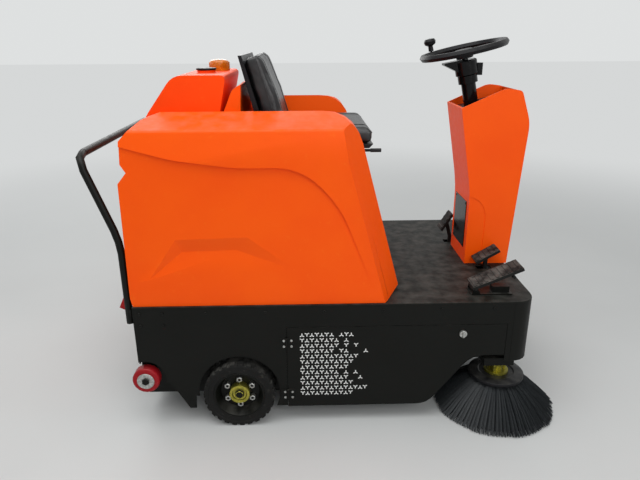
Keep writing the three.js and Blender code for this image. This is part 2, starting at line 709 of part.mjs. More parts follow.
function frontFork() {
  const crown = FRONT_WHEEL_D + 12;
  const arms = [-1, 1].map((side) => box(
    FRONT_WHEEL_X - 22, FRONT_WHEEL_X + 22,
    side * FORK_GAP, side * (FORK_GAP + 6),
    FRONT_WHEEL_R - 22, crown + 1,
  ));
  return join(
    box(FRONT_WHEEL_X - 22, STEM_X + 24, -FORK_GAP - 6, FORK_GAP + 6, crown, crown + 10),
    ...arms,
    rodZ(STEM_X, 0, crown + 5, 280 - GAP, STEM_R + 10, 16),
    rodZ(STEM_X, 0, crown + 5, DECK_TOP + 30, STEM_R, 16),
    rodY(FRONT_WHEEL_X, -FORK_GAP - 12, FORK_GAP + 12, FRONT_WHEEL_R, AXLE_R, 24),
  );
}

function frontHub() {
  const hole = bore(AXLE_R, 24);
  const half = FRONT_WHEEL_W / 2;
  return turned([
    [hole, -half - 5],
    [30, -half - 5],
    [32, -half + 8],
    [62, -half + 8],
    [64, -half + 1],
    [70, -half + 1],
    [70, half - 1],
    [64, half - 1],
    [62, half - 8],
    [32, half - 8],
    [30, half + 5],
    [hole, half + 5],
    [hole, -half - 5],
  ]);
}

// Carries the turn of the steering shaft down to the fork's stem.
function steeringGearbox() {
  const body = box(STEM_X - 40, FRONT - 12, -42, 42, ON_DECK, GEARBOX_TOP);
  return cut(
    body,
    rodZ(STEM_X, 0, 0, DECK_TOP + 31, bore(STEM_R), 16),
    rod(onAxis(-32), onAxis(40), bore(SHAFT_R), 16),
  );
}

// Outer tube and the casting below the wheel, hollow for the shaft.
function steeringColumn() {
  const hole = bore(SHAFT_R + 2);
  const tube = aim(turned([
    [hole, 6],
    [COLUMN_R, 6],
    [COLUMN_R, COLUMN_TOP_AT - 60],
    [COLUMN_R + 9, COLUMN_TOP_AT - 58],
    [COLUMN_R + 9, COLUMN_TOP_AT - 30],
    [COLUMN_R + 15, COLUMN_TOP_AT - 26],
    [COLUMN_R + 15, COLUMN_TOP_AT + 22],
    [COLUMN_R + 9, COLUMN_TOP_AT + 26],
    [hole, COLUMN_TOP_AT + 26],
    [hole, 6],
  ], 16), AXIS_FOOT, AXIS_UP);
  const head = onAxis(COLUMN_TOP_AT);
  const gusset = sideCut([
    [head.x - 86, head.z + 6],
    [head.x - 86, head.z + 13],
    [head.x - 20, head.z + 26],
    [head.x - 20, head.z - 24],
  ], -22, 22);
  const lever = box(head.x + 34, head.x + 58, -16, 16, head.z - 28, head.z + 16);
  const foot = sideCut([
    [AXIS_FOOT.x - 48, GEARBOX_TOP + GAP],
    [AXIS_FOOT.x + 22, GEARBOX_TOP + GAP],
    [AXIS_FOOT.x + 22, GEARBOX_TOP + 18],
    [AXIS_FOOT.x - 48, GEARBOX_TOP + 18],
  ], -36, 36);
  const shaftWay = rod(onAxis(-60), onAxis(COLUMN_TOP_AT + 60), hole, 16);
  return cut(join(tube, gusset, lever, foot), shaftWay);
}

function steeringWheel() {
  const hub = aim(turned([
    [0, -22],
    [30, -22],
    [38, 4],
    [30, 10],
    [0, 12],
  ], 20), onAxis(WHEEL_HUB_AT - 8), AXIS_UP);
  const rim = new THREE.TorusGeometry(STEERING_WHEEL_R, STEERING_RIM_R, 6, 28);
  const spokes = [0, 1, 2].map((i) => {
    const bar = box(20, STEERING_WHEEL_R, -11, 11, -9, -3);
    return bar.rotateZ(Math.PI / 6 + i * 2 * Math.PI / 3);
  });
  const centre = onAxis(WHEEL_HUB_AT);
  return cut(
    join(hub, aim(rim, centre, AXIS_UP), ...spokes.map((bar) => aim(bar, centre, AXIS_UP))),
    aim(rodZ(KNOB_X, KNOB_Y, 0, 60, bore(4, 12), 12), centre, AXIS_UP),
  );
}

const KNOB_ANGLE = THREE.MathUtils.degToRad(130);
const KNOB_X = (STEERING_WHEEL_R - 1) * Math.cos(KNOB_ANGLE);
const KNOB_Y = (STEERING_WHEEL_R - 1) * Math.sin(KNOB_ANGLE);

function wheelKnob() {
  const knob = turned([
    [0, 3],
    [4, 3],
    [4, STEERING_RIM_R + 1],
    [10, STEERING_RIM_R + 1],
    [9, STEERING_RIM_R + 20],
    [21, STEERING_RIM_R + 27],
    [23, STEERING_RIM_R + 38],
    [18, STEERING_RIM_R + 46],
    [0, STEERING_RIM_R + 48],
  ], 12);
  return aim(knob.translate(KNOB_X, KNOB_Y, 0), onAxis(WHEEL_HUB_AT), AXIS_UP);
}

add('front_fork', frontFork(), frameBlack);
const axleCentre = new THREE.Vector3(FRONT_WHEEL_X, 0, FRONT_WHEEL_R);
const tyreStart = axleCentre.clone().setY(-FRONT_WHEEL_W / 2);
const left = new THREE.Vector3(0, 1, 0);
add('front_tyre', aim(tyre(FRONT_WHEEL_R, 70 + GAP, FRONT_WHEEL_W), tyreStart, left), rubberBlack);
add('front_hub', aim(frontHub(), axleCentre, left), steel);
add('steering_gearbox', steeringGearbox(), frameBlack);
add('steering_column', steeringColumn(), plasticBlack);
add('steering_shaft', rod(onAxis(-28), onAxis(WHEEL_HUB_AT - 30.3), SHAFT_R, 16), steel);
add('steering_wheel', steeringWheel(), plasticBlack);
add('wheel_knob', wheelKnob(), plasticBlack);

// ---------------------------------------------------------------- column shroud and panel
const SHROUD_TOP = 1134;
const shroudOutline = [
  [SHROUD_X, ON_DECK],
  [SHROUD_X + 1, 738, 60],
  [SHROUD_X - 57, SHROUD_TOP - 69],
  [FRONT - 60, SHROUD_TOP, 20],
  [FRONT, SHROUD_TOP - 8, 12],
  [FRONT + 40, 1010, 30],
  [FRONT + 28, 814, 60],
  [FRONT + 8, ON_DECK],
];

function panelPlane(x) {
  return PANEL_BACK_Z + (x - SHROUD_X + 57) * Math.tan(PANEL_SLOPE);
}

// Straight sides; the panel's ledge inside is a step in the wall.
function columnShroud() {
  const inner = SHROUD_HALF - SHROUD_WALL;
  const cavity = sideCut([
    [SHROUD_X + SHROUD_WALL, 0],
    [SHROUD_X + SHROUD_WALL + 1, 738, 60],
    [SHROUD_X - 57 + SHROUD_WALL, SHROUD_TOP - 69],
    [SHROUD_X - 57 + SHROUD_WALL, SHROUD_TOP + 60],
    [FRONT - 6, SHROUD_TOP + 60],
    [FRONT - 6, SHROUD_TOP - 30],
    [FRONT + 40 - SHROUD_WALL, 1010, 30],
    [FRONT + 28 - SHROUD_WALL, 814, 60],
    [FRONT + 8 - SHROUD_WALL, ON_DECK],
    [FRONT + 8 - SHROUD_WALL, 0],
  ], -inner, inner);
  const rear = SHROUD_X - 57 + SHROUD_WALL;
  const ledges = [-1, 1].map((side) => sideCut([
    [rear + 10, panelPlane(rear + 10) - 6],
    [rear + 10, panelPlane(rear + 10)],
    [FRONT - 12, panelPlane(FRONT - 12)],
    [FRONT - 12, panelPlane(FRONT - 12) - 6],
  ], side * (inner - 10), side * (inner + 1)));
  const arches = [-1, 1].map((side) => sideCut([
    [SHROUD_X - 5, 0],
    [SHROUD_X + 50, 0],
    [SHROUD_X + 67, 600],
    [SHROUD_X + 67, 662, 16],
    [SHROUD_X + 56, 697, 16],
    [SHROUD_X + 30, 724, 16],
    [SHROUD_X - 5, 735],
  ], side * (SHROUD_HALF - ARCH_STEP), side * (SHROUD_HALF + 1), 8));
  const body = sideCut(shroudOutline, -SHROUD_HALF, SHROUD_HALF);
  return join(cut(body, cavity, ...arches), ...ledges);
}

const panelItems = {
  battery_gauge: { x: FRONT - 50, y: 38, rx: 22, ry: 22 },
  key_switch: { x: FRONT - 60, y: -58, rx: 9, ry: 9 },
  brush_switch: { x: FRONT - 95, y: 58, rx: 11, ry: 15 },
  lamp_switch: { x: FRONT - 95, y: -58, rx: 11, ry: 15 },
};

// Places a shape made about the origin, +Z outward, on the panel's upper face.
function ontoPanel(geometry, x, y) {
  return geometry.rotateY(-PANEL_SLOPE).translate(x, y, panelPlane(x) + GAP + 3);
}

function instrumentPanel() {
  const inner = SHROUD_HALF - SHROUD_WALL - 1;
  const x0 = SHROUD_X - 57 + SHROUD_WALL + 4;
  const x1 = FRONT - 8;
  const plate = sideCut([
    [x0, panelPlane(x0) + GAP],
    [x0, panelPlane(x0) + GAP + 3],
    [x1, panelPlane(x1) + GAP + 3],
    [x1, panelPlane(x1) + GAP],
  ], -inner, inner);
  const holes = Object.values(panelItems).map(({ x, y, rx, ry }) => {
    return ontoPanel(box(-rx - GAP, rx + GAP, -ry - GAP, ry + GAP, -20, 20), x, y);
  });
  return cut(plate, ...holes, rod(onAxis(0), onAxis(COLUMN_TOP_AT), COLUMN_R + 2, 16));
}

function batteryGauge({ rx, ry }) {
  return join(box(-rx, rx, -ry, ry, -14, 1), box(-rx - 3, rx + 3, -ry - 3, ry + 3, GAP, 3));
}

function keySwitch() {
  return join(
    rodZ(0, 0, -16, 2, 8, 16),
    rodZ(0, 0, GAP, 5, 13, 16),
    box(-2, 2, -9, 9, 4, 22),
  );
}

// The rocker tips about an axis across the panel; its two faces meet at a shallow ridge.
function rocker({ rx, ry }) {
  return sideCut([
    [-rx + 1, -6],
    [rx - 1, -6],
    [rx - 1, 2.5],
    [0, 4],
    [-rx + 1, 6],
  ], -ry, ry);
}

// Blank glossy plate on the shroud's rear face, with four screw heads.
function coverPlate() {
  const half = 78;
  const z0 = DECK_TOP + 58;
  const z1 = z0 + 187;
  const face = SHROUD_X - GAP;
  const screws = [-1, 1].flatMap((side) => [z0 + 9, z1 - 9].map((z) => {
    return rodX(face - 4, face - 1, side * (half - 9), z, 4, 8);
  }));
  return join(box(face - 2, face, -half, half, z0, z1), ...screws);
}

add('column_shroud', columnShroud(), hoodOrange);
add('cover_plate', coverPlate(), plasticBlack);
add('instrument_panel', instrumentPanel(), plasticBlack);
for (const [name, item] of Object.entries(panelItems)) {
  const shapes = { battery_gauge: batteryGauge, key_switch: keySwitch };
  const make = shapes[name] ?? rocker;
  add(name, ontoPanel(make(item), item.x, item.y), plasticBlack);
}

// ---------------------------------------------------------------- pedals
function pedalShaft() {
  const y0 = BRAKE_Y - 28;
  const y1 = FLAP_PEDAL_Y + 28;
  const hangers = [y0, y1].map((y) => {
    return box(PEDAL_X - 14, PEDAL_X + 14, y - 4, y + 4, PEDAL_Z - 14, UNDER_DECK);
  });
  return join(rodY(PEDAL_X, y0, y1, PEDAL_Z, PEDAL_SHAFT_R, 16), ...hangers);
}

// A ribbed pad of the given length, centred at (x, z) and sloping by `slope` degrees.
function pad(x, y, z, length, width, slope) {
  const thickness = 11;
  const ribs = Math.round(length / 20);
  const pieces = [box(-length / 2, length / 2, -width / 2, width / 2, 0, thickness)];
  for (let i = 0; i < ribs; i += 1) {
    const at = -length / 2 + (i + 0.5) * (length / ribs);
    pieces.push(box(at - 5, at + 5, -width / 2 + 4, width / 2 - 4, thickness - 1, thickness + 2.5));
  }
  const tilt = THREE.MathUtils.degToRad(slope);
  return join(...pieces).rotateY(-tilt).translate(x, y, z);
}

// Arm from the shaft under the deck, up through its slot to the pad.
function hangingPedal(y, footX, padX, padZ, length, width, slope) {
  const arm = sideCut([
    [PEDAL_X, PEDAL_Z - 7],
    [footX + 7, PEDAL_Z - 7, 8],
    [footX + 9, DECK_TOP + 25],
    [padX + 6, padZ + 4],
    [padX - 8, padZ + 1],
    [footX - 5, DECK_TOP + 20],
    [footX - 7, PEDAL_Z + 7],
    [PEDAL_X, PEDAL_Z + 7],
  ], y - 6, y + 6);
  const knuckle = rodY(PEDAL_X, y - 14, y + 14, PEDAL_Z, PEDAL_SHAFT_R + 5, 16);
  return cut(
    join(arm, knuckle, pad(padX, y, padZ, length, width, slope)),
    rodY(PEDAL_X, y - 30, y + 30, PEDAL_Z, bore(PEDAL_SHAFT_R), 16),
  );
}

const ACCEL_HEEL_X = FRONT - 198;
const ACCEL_HEEL_Z = DECK_TOP + 16;
const ACCEL_PIN_R = 5;

// Base plate with two cheeks, the heel pin and the sensor box.
function acceleratorBracket() {
  const base = box(ACCEL_HEEL_X - 14, ACCEL_HEEL_X + 130, ACCEL_Y - 32, ACCEL_Y + 32, ON_DECK, ON_DECK + 4);
  const cheeks = [-1, 1].map((side) => sideCut([
    [ACCEL_HEEL_X - 12, ON_DECK + 1],
    [ACCEL_HEEL_X + 20, ON_DECK + 1],
    [ACCEL_HEEL_X + 10, ACCEL_HEEL_Z + 4],
    [ACCEL_HEEL_X - 8, ACCEL_HEEL_Z + 4],
  ], ACCEL_Y + side * 26, ACCEL_Y + side * 32));
  const pin = rodY(ACCEL_HEEL_X, ACCEL_Y - 36, ACCEL_Y + 36, ACCEL_HEEL_Z, ACCEL_PIN_R, 12);
  const sensor = box(
    ACCEL_HEEL_X + 62, ACCEL_HEEL_X + 122,
    ACCEL_Y - 20, ACCEL_Y + 12,
    ON_DECK + 1, ON_DECK + 26,
  );
  return join(base, ...cheeks, pin, sensor);
}

function acceleratorPedal() {
  const knuckle = rodY(ACCEL_HEEL_X, ACCEL_Y - 24, ACCEL_Y + 24, ACCEL_HEEL_Z, ACCEL_PIN_R + 5, 12);
  const web = box(2, 20, -24, 24, 4, 22);
  const slope = 23;
  web.rotateY(-THREE.MathUtils.degToRad(slope)).translate(ACCEL_HEEL_X, ACCEL_Y, ACCEL_HEEL_Z);
  const plate = pad(ACCEL_HEEL_X + 76, ACCEL_Y, ACCEL_HEEL_Z + 42, 182, 84, slope);
  const stem = rodY(ACCEL_HEEL_X + 128, ACCEL_Y - 38, ACCEL_Y + 24, ACCEL_HEEL_Z + 52, 6, 10);
  const ear = box(
    ACCEL_HEEL_X + 118, ACCEL_HEEL_X + 138,
    ACCEL_Y + 14, ACCEL_Y + 20,
    ACCEL_HEEL_Z + 46, ACCEL_HEEL_Z + 70,
  );
  return cut(
    join(knuckle, web, plate, stem, ear),
    rodY(ACCEL_HEEL_X, ACCEL_Y - 60, ACCEL_Y + 60, ACCEL_HEEL_Z, bore(ACCEL_PIN_R, 12), 12),
  );
}

add('pedal_shaft', pedalShaft(), steel);
const brakePedal = hangingPedal(BRAKE_Y, BRAKE_FOOT_X, FRONT - 87, DECK_TOP + 49, 100, 70, 30);
add('brake_pedal', brakePedal, rubberBlack);
const flapPedal = hangingPedal(FLAP_PEDAL_Y, FLAP_FOOT_X, FRONT - 172, DECK_TOP + 90, 85, 66, 58);
add('flap_pedal', flapPedal, rubberBlack);
add('accelerator_bracket', acceleratorBracket(), frameBlack);
add('accelerator_pedal', acceleratorPedal(), rubberBlack);

// ---------------------------------------------------------------- brushes
function mainBrush() {
  const hole = bore(AXLE_R, 24);
  const half = MAIN_BRUSH_L / 2;
  return turned([
    [hole, -half],
    [MAIN_BRUSH_R, -half],
    [MAIN_BRUSH_R, half],
    [hole, half],
    [hole, -half],
  ]);
}

// Drive motor on the left wall, with its shaft in the brush's core.
function brushMotor() {
  const wall = HOUSING_HALF + SHEET + GAP;
  return join(
    rodY(BRUSH_X, wall, wall + 6, BRUSH_Z, 60, 20),
    rodY(BRUSH_X, wall + 5, INSIDE - 8, BRUSH_Z, 48, 20),
    rodY(BRUSH_X, MAIN_BRUSH_L / 2 - 25, wall + 1, BRUSH_Z, AXLE_R, 16),
  );
}

const FLAP_X = HOUSING_X1 + 5 + GAP;
const FLAP_Z = 84;

// Rubber flap on a rod ahead of the brush; it swings forward to let large litter in.
function frontFlap() {
  const half = HOUSING_HALF;
  return join(
    box(FLAP_X - 2.5, FLAP_X + 2.5, -half, half, 6, FLAP_Z),
    rodY(FLAP_X, -half, half, FLAP_Z, 5, 12),
  );
}

function sideBrush() {
  return turned([
    [36, BRUSH_DISC_Z - 16],
    [BRUSH_DISC_R - 10, BRUSH_DISC_Z - 16],
    [SIDE_BRUSH_R - 26, GAP],
    [SIDE_BRUSH_R, GAP],
    [SIDE_BRUSH_R - 40, 62],
    [BRUSH_DISC_R, BRUSH_DISC_Z],
    [36, BRUSH_DISC_Z],
    [36, BRUSH_DISC_Z - 16],
  ], 28).translate(SIDE_BRUSH_X, SIDE_BRUSH_Y, 0);
}

const HUB_TOP = BRUSH_DISC_Z + 52;

// Zinc hub: a plug in the disc, three bolts and an upper ring on the motor's shaft.
function sideBrushHub() {
  const hub = turned([
    [0, BRUSH_DISC_Z - 14],
    [36 - GAP, BRUSH_DISC_Z - 14],
    [36 - GAP, BRUSH_DISC_Z + GAP],
    [44, BRUSH_DISC_Z + GAP],
    [44, BRUSH_DISC_Z + 8],
    [20, BRUSH_DISC_Z + 8],
    [20, HUB_TOP - 14],
    [34, HUB_TOP - 14],
    [34, HUB_TOP],
    [0, HUB_TOP],
  ], 24);
  const bolts = [0, 1, 2].map((i) => {
    const angle = i * 2 * Math.PI / 3;
    return rodZ(30 * Math.cos(angle), 30 * Math.sin(angle), BRUSH_DISC_Z + 7, HUB_TOP - 10, 5, 6);
  });
  return join(hub, ...bolts).translate(SIDE_BRUSH_X, SIDE_BRUSH_Y, 0);
}

// Swing arm that ends in the motor's bracket, with the motor standing on it.
function sideBrushArm() {
  const y0 = SIDE_BRUSH_Y - ARM_HALF;
  const y1 = SIDE_BRUSH_Y + ARM_HALF;
  const x1 = SIDE_BRUSH_X + 42;
  const arm = join(
    box(ARM_PIVOT_X, x1, y0, y1, ARM_PIVOT_Z - 12, ARM_PIVOT_Z + 8),
    rodY(ARM_PIVOT_X, y0, y1, ARM_PIVOT_Z, 16, 16),
    box(SIDE_BRUSH_X - 66, x1, y0 - 26, y1 + 16, HUB_TOP + GAP, HUB_TOP + 30),
    rodZ(SIDE_BRUSH_X, SIDE_BRUSH_Y, HUB_TOP + 29, HUB_TOP + 128, 44, 20),
  );
  return cut(arm, rodY(ARM_PIVOT_X, -SIDE, 0, ARM_PIVOT_Z, bore(PEDAL_SHAFT_R), 16));
}

add('main_brush', aim(mainBrush(), new THREE.Vector3(BRUSH_X, 0, BRUSH_Z), left), bristleGrey);
add('brush_motor', brushMotor(), plasticBlack);
add('front_flap', frontFlap(), rubberBlack);
add('side_brush', sideBrush(), bristleGrey);
add('side_brush_hub', sideBrushHub(), zinc);
add('side_brush_arm', sideBrushArm(), frameBlack);

// ---------------------------------------------------------------- hood, tank and beacon
const hoodOutline = [
  [HOOD_REAR + 6, ON_DECK],
  [HOOD_REAR, ON_DECK + 28],
  [HOOD_REAR + 1, HOOD_TOP - 201],
  [HOOD_REAR + 30, HOOD_TOP - 166],
  [HOOD_REAR + 14, HOOD_TOP - 140],
  [HOOD_REAR + 18, HOOD_TOP - 68],
  [HOOD_REAR + 66, HOOD_TOP - 17],
  [HOOD_REAR + 112, HOOD_TOP],
  [HOOD_FRONT - 162, HOOD_TOP, 102],
  [HOOD_FRONT, ON_DECK + 15],
  [HOOD_FRONT - 49, ON_DECK],
];

function hoodInner() {
  const wall = HOOD_WALL;
  return [
    [HOOD_REAR + 38, 0],
    [HOOD_REAR + 38, HOOD_TOP - 60],
    [HOOD_REAR + 112, HOOD_TOP - wall],
    [HOOD_FRONT - 202 - wall, HOOD_TOP - wall, 98],
    [HOOD_FRONT - wall - 40, ON_DECK + 14],
    [HOOD_FRONT - wall - 44, 0],
  ];
}

// Below the brow line each side leans in; the recess fades out towards its lower edge.
function slopedRecess(side) {
  const foot = ON_DECK + 60;
  const slope = BROW_DEPTH / (HOOD_TOP - 150 - foot);
  const shear = new THREE.Matrix4().makeShear(0, 0, 0, 0, 0, -side * slope);
  return sideCut([
    [HOOD_REAR - 20, HOOD_TOP - 74 - foot],
    [HOOD_REAR + 172, HOOD_TOP - 125 - foot, 40],
    [HOOD_REAR + 380, HOOD_TOP - 153 - foot, 60],
    [HOOD_REAR + 575, HOOD_TOP - 150 - foot, 90],
    [HOOD_REAR + 700, HOOD_TOP - 280 - foot, 80],
    [HOOD_REAR + 810, 0],
    [HOOD_REAR - 20, 0],
  ], side * HOOD_HALF, side * (HOOD_HALF + 60), 6).applyMatrix4(shear).translate(0, 0, foot);
}

// A shallow hip-shaped hollow low on each side: deepest along a short level line.
function chevronRecess(side) {
  const face = side * (HOOD_HALF + 1);
  const deep = side * (HOOD_HALF - CHEVRON_DEPTH);
  const edge = [
    [HOOD_REAR + 60, ON_DECK + 88],
    [HOOD_REAR + 158, ON_DECK + 254],
    [HOOD_REAR + 417, ON_DECK + 262],
    [HOOD_REAR + 588, ON_DECK + 110],
  ];
  const floor = [
    [HOOD_REAR + 180, ON_DECK + 186],
    [HOOD_REAR + 360, ON_DECK + 190],
  ];
  return new ConvexGeometry([
    ...edge.map(([x, z]) => new THREE.Vector3(x, face, z)),
    ...floor.map(([x, z]) => new THREE.Vector3(x, deep, z)),
  ]);
}

// Pods either side of the seat bay, a hump behind the seat and a shelf for the tank.
function hood() {
  const wall = HOOD_WALL;
  const innerHalf = HOOD_HALF - wall - CHEVRON_DEPTH;
  const outer = sideCut(hoodOutline, -HOOD_HALF, HOOD_HALF, 5);
  const bay = box(BAY_REAR, HOOD_FRONT + 1, -BAY_HALF, BAY_HALF, BAY_FLOOR, HOOD_TOP + 1);
  const shelf = box(HOOD_REAR + 34, BAY_REAR + 1, -BAY_HALF, BAY_HALF, TANK_SEAT_Z, HOOD_TOP + 1);
  const bayShell = box(
    BAY_REAR - wall, HOOD_FRONT + 1,
    -BAY_HALF - wall, BAY_HALF + wall,
    BAY_FLOOR - wall, HOOD_TOP + 1,
  );
  const shelfShell = box(
    HOOD_REAR, BAY_REAR + 1,
    -BAY_HALF - wall, BAY_HALF + wall,
    TANK_SEAT_Z - wall, HOOD_TOP + 1,
  );
  const browCut = [-1, 1].map((side) => slopedRecess(side));
  const chevron = [-1, 1].map((side) => chevronRecess(side));
  const cheeks = [-1, 1].map((side) => frontCut([
    [side * BAY_HALF, HOOD_TOP],
    [side * (HOOD_HALF - 20), HOOD_TOP - 38, 8],
    [side * HOOD_HALF, HOOD_TOP - 140],
    [side * (HOOD_HALF + 40), HOOD_TOP - 140],
    [side * (HOOD_HALF + 40), HOOD_TOP + 20],
    [side * BAY_HALF, HOOD_TOP + 20],
  ], HOOD_REAR - 1, HOOD_FRONT + 1));
  const cheekShells = cheeks.map((cheek, i) => {
    return cheek.clone().translate(0, i === 0 ? wall : -wall, -wall);
  });
  const core = cut(
    sideCut(hoodInner(), -innerHalf, innerHalf, 5),
    bayShell,
    shelfShell,
    ...cheekShells,
  );
  const lean = -131 / 489;
  const shear = new THREE.Matrix4().makeShear(0, 0, 0, 0, lean, 0);
  const corners = [-1, 1].map((side) => planCut([
    [HOOD_FRONT - 62, side * (HOOD_HALF + 1)],
    [HOOD_FRONT + 5, side * (HOOD_HALF - 122)],
    [HOOD_FRONT + 60, side * (HOOD_HALF - 122)],
    [HOOD_FRONT + 60, side * (HOOD_HALF + 1)],
  ], 0, HOOD_HEIGHT + 50).applyMatrix4(shear).translate(0, 0, ON_DECK));
  const hump = sideCut([
    [BAY_REAR - 70, TANK_SEAT_Z - 1],
    [BAY_REAR - 24, HOOD_TOP + 64, 8],
    [BAY_REAR + 6, HOOD_TOP + 82, 8],
    [BAY_REAR - GAP, TANK_SEAT_Z - 1],
  ], -TANK_WIDTH / 2, TANK_WIDTH / 2);
  return join(cut(outer, bay, shelf, core, ...browCut, ...chevron, ...cheeks, ...corners), hump);
}

const TANK_TOP = HOOD_TOP + 112;
const CAP_X = HOOD_REAR + 238;
const CAP_Y = -50;
const BEACON_X = HOOD_REAR + 265;
const BEACON_Y = 100;

function waterTank() {
  const body = sideCut([
    [HOOD_REAR + 40, TANK_SEAT_Z + GAP],
    [HOOD_REAR + 60, HOOD_TOP - 8],
    [HOOD_REAR + 150, TANK_TOP, 34],
    [BAY_REAR - 42, TANK_TOP, 22],
    [BAY_REAR - 75, TANK_SEAT_Z + GAP],
  ], -TANK_WIDTH / 2, TANK_WIDTH / 2);
  const neck = rodZ(CAP_X, CAP_Y, TANK_TOP - 2, TANK_TOP + 8, 32, 24);
  return cut(join(body, neck), rodZ(CAP_X, CAP_Y, TANK_TOP - 90, TANK_TOP + 20, 24, 24));
}

function tankCap() {
  return turned([
    [0, -12],
    [22, -12],
    [22, 8 + GAP],
    [36, 8 + GAP],
    [36, 16],
    [0, 18],
  ], 24).translate(CAP_X, CAP_Y, TANK_TOP);
}

function beacon() {
  return turned([
    [0, GAP],
    [40, GAP],
    [40, 26],
    [36, 34],
    [20, 40],
    [0, 41],
  ], 24).translate(BEACON_X, BEACON_Y, TANK_TOP);
}

add('hood', hood(), hoodOrange);
add('water_tank', waterTank(), tankOrange);
add('tank_cap', tankCap(), plasticBlack);
add('beacon', beacon(), amber);

// ---------------------------------------------------------------- batteries
const BATTERY_X0 = REAR + 395;
for (const [name, side] of Object.entries(sides)) {
  const y0 = side * 12;
  const y1 = side * 342;
  const terminals = [0.2, 0.8].map((share) => {
    return rodZ(BATTERY_X0 + 30, y0 + (y1 - y0) * share, ON_DECK + 219, ON_DECK + 236, 9, 12);
  });
  const block = box(BATTERY_X0, BATTERY_X0 + 172, y0, y1, ON_DECK, ON_DECK + 220);
  add(`${name}_battery`, join(block, ...terminals), plasticBlack);
}

// ---------------------------------------------------------------- seat
const RAIL_HALF = 150;
const SEAT_RAIL_X0 = SEAT_X1 - 330;
const SEAT_RAIL_X1 = SEAT_X1 - 50;
const SEAT_RAIL_TOP = BAY_FLOOR + 19;
const CUSHION_Z = SEAT_RAIL_TOP + 15 + GAP;

// Two channels tied by a cross strip, lying on the bay's floor.
function seatRails() {
  const rails = [-1, 1].map((side) => box(
    SEAT_RAIL_X0, SEAT_RAIL_X1,
    side * (RAIL_HALF - 18), side * (RAIL_HALF + 18),
    BAY_FLOOR + GAP, SEAT_RAIL_TOP,
  ));
  const tie = box(
    SEAT_RAIL_X0 + 40, SEAT_RAIL_X0 + 90,
    -RAIL_HALF, RAIL_HALF,
    BAY_FLOOR + GAP, BAY_FLOOR + 6,
  );
  return join(...rails, tie);
}

// Outline of the seat's rear shell: a pan with an upright back that leans rearwards.
const BACK_FOOT_X = SEAT_X1 - 400;
const BACK_TOP_X = BACK_FOOT_X - 72;
const BACK_TOP_Z = 1262;

function seatPan() {
  const half = SEAT_HALF - 12;
  return sideCut([
    [SEAT_X1 - 20, SEAT_RAIL_TOP + GAP],
    [SEAT_X1 - 6, SEAT_RAIL_TOP + 15],
    [BACK_FOOT_X + 34, SEAT_RAIL_TOP + 15],
    [BACK_TOP_X + 22, BACK_TOP_Z - 8],
    [BACK_TOP_X + 10, BACK_TOP_Z - 8],
    [BACK_FOOT_X + 14, SEAT_RAIL_TOP + 12, 16],
    [BACK_FOOT_X + 60, SEAT_RAIL_TOP + GAP],
  ], -half, half);
}

function seatCushion() {
  return sideCut([
    [BACK_FOOT_X + 110, CUSHION_Z],
    [SEAT_X1 - 18, CUSHION_Z],
    [SEAT_X1, CUSHION_Z + 8, 6],
    [SEAT_X1, 1012, 30],
    [BACK_FOOT_X + 104, 1006],
  ], -SEAT_HALF, SEAT_HALF);
}

function seatBack() {
  const lean = (BACK_FOOT_X - BACK_TOP_X + 12) / (BACK_TOP_Z - 8 - SEAT_RAIL_TOP - 15);
  const frontOf = (z) => BACK_FOOT_X + 34 + GAP * 1.5 - (z - SEAT_RAIL_TOP - 15) * lean;
  const half = SEAT_HALF - 8;
  return sideCut([
    [frontOf(CUSHION_Z), CUSHION_Z],
    [frontOf(CUSHION_Z) + 68, CUSHION_Z],
    [frontOf(1020) + 70, 1020, 20],
    [frontOf(1180) + 62, 1180, 40],
    [frontOf(1262) + 38, 1266, 14],
    [frontOf(1262), 1262],
  ], -half, half);
}

// Bent release rod under the cushion's right side.
function seatLever() {
  const z = SEAT_RAIL_TOP - 13;
  const y = -RAIL_HALF - 40;
  return join(
    rodX(SEAT_X1 - 80, SEAT_X1 + 26, y, z, 5, 10),
    rodX(SEAT_X1 - 12, SEAT_X1 + 26, y, z, 7, 10),
    rodY(SEAT_X1 - 80, y - 8, -RAIL_HALF - 18 - GAP, z, 5, 10),
  );
}

add('seat_rails', seatRails(), steel);
add('seat_pan', seatPan(), plasticBlack);
add('seat_cushion', seatCushion(), vinylBlack);
add('seat_back', seatBack(), vinylBlack);
add('seat_lever', seatLever(), plasticBlack);

export default group;
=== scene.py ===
import math

import bpy
from mathutils import Matrix, Vector


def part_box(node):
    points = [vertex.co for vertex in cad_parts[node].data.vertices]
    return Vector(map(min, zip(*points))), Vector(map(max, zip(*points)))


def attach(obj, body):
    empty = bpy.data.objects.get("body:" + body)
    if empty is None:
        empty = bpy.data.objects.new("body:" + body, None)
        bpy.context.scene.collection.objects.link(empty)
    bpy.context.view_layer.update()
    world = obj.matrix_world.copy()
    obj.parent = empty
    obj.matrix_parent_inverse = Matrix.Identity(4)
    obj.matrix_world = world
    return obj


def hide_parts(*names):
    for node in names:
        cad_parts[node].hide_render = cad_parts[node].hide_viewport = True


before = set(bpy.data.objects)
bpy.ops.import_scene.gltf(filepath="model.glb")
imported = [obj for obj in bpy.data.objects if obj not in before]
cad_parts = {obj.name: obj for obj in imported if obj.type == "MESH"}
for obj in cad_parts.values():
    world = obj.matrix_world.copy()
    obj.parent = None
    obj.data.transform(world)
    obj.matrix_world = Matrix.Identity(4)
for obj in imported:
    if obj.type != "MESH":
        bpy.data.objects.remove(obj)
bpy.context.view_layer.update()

scene = bpy.context.scene
bpy.ops.object.select_all(action="DESELECT")


# ---------------------------------------------------------------- camera
# Stands on the machine's right side, at a standing person's eye height, looking
# down a little at the whole machine.
scene.view_settings.view_transform = "Standard"
EYE = Vector((-0.0989, -2.1407, 1.3100))
LOOK_DOWN = math.radians(19.55)
LOOK_ASIDE = math.radians(1.463)
TILT = math.radians(-0.273)

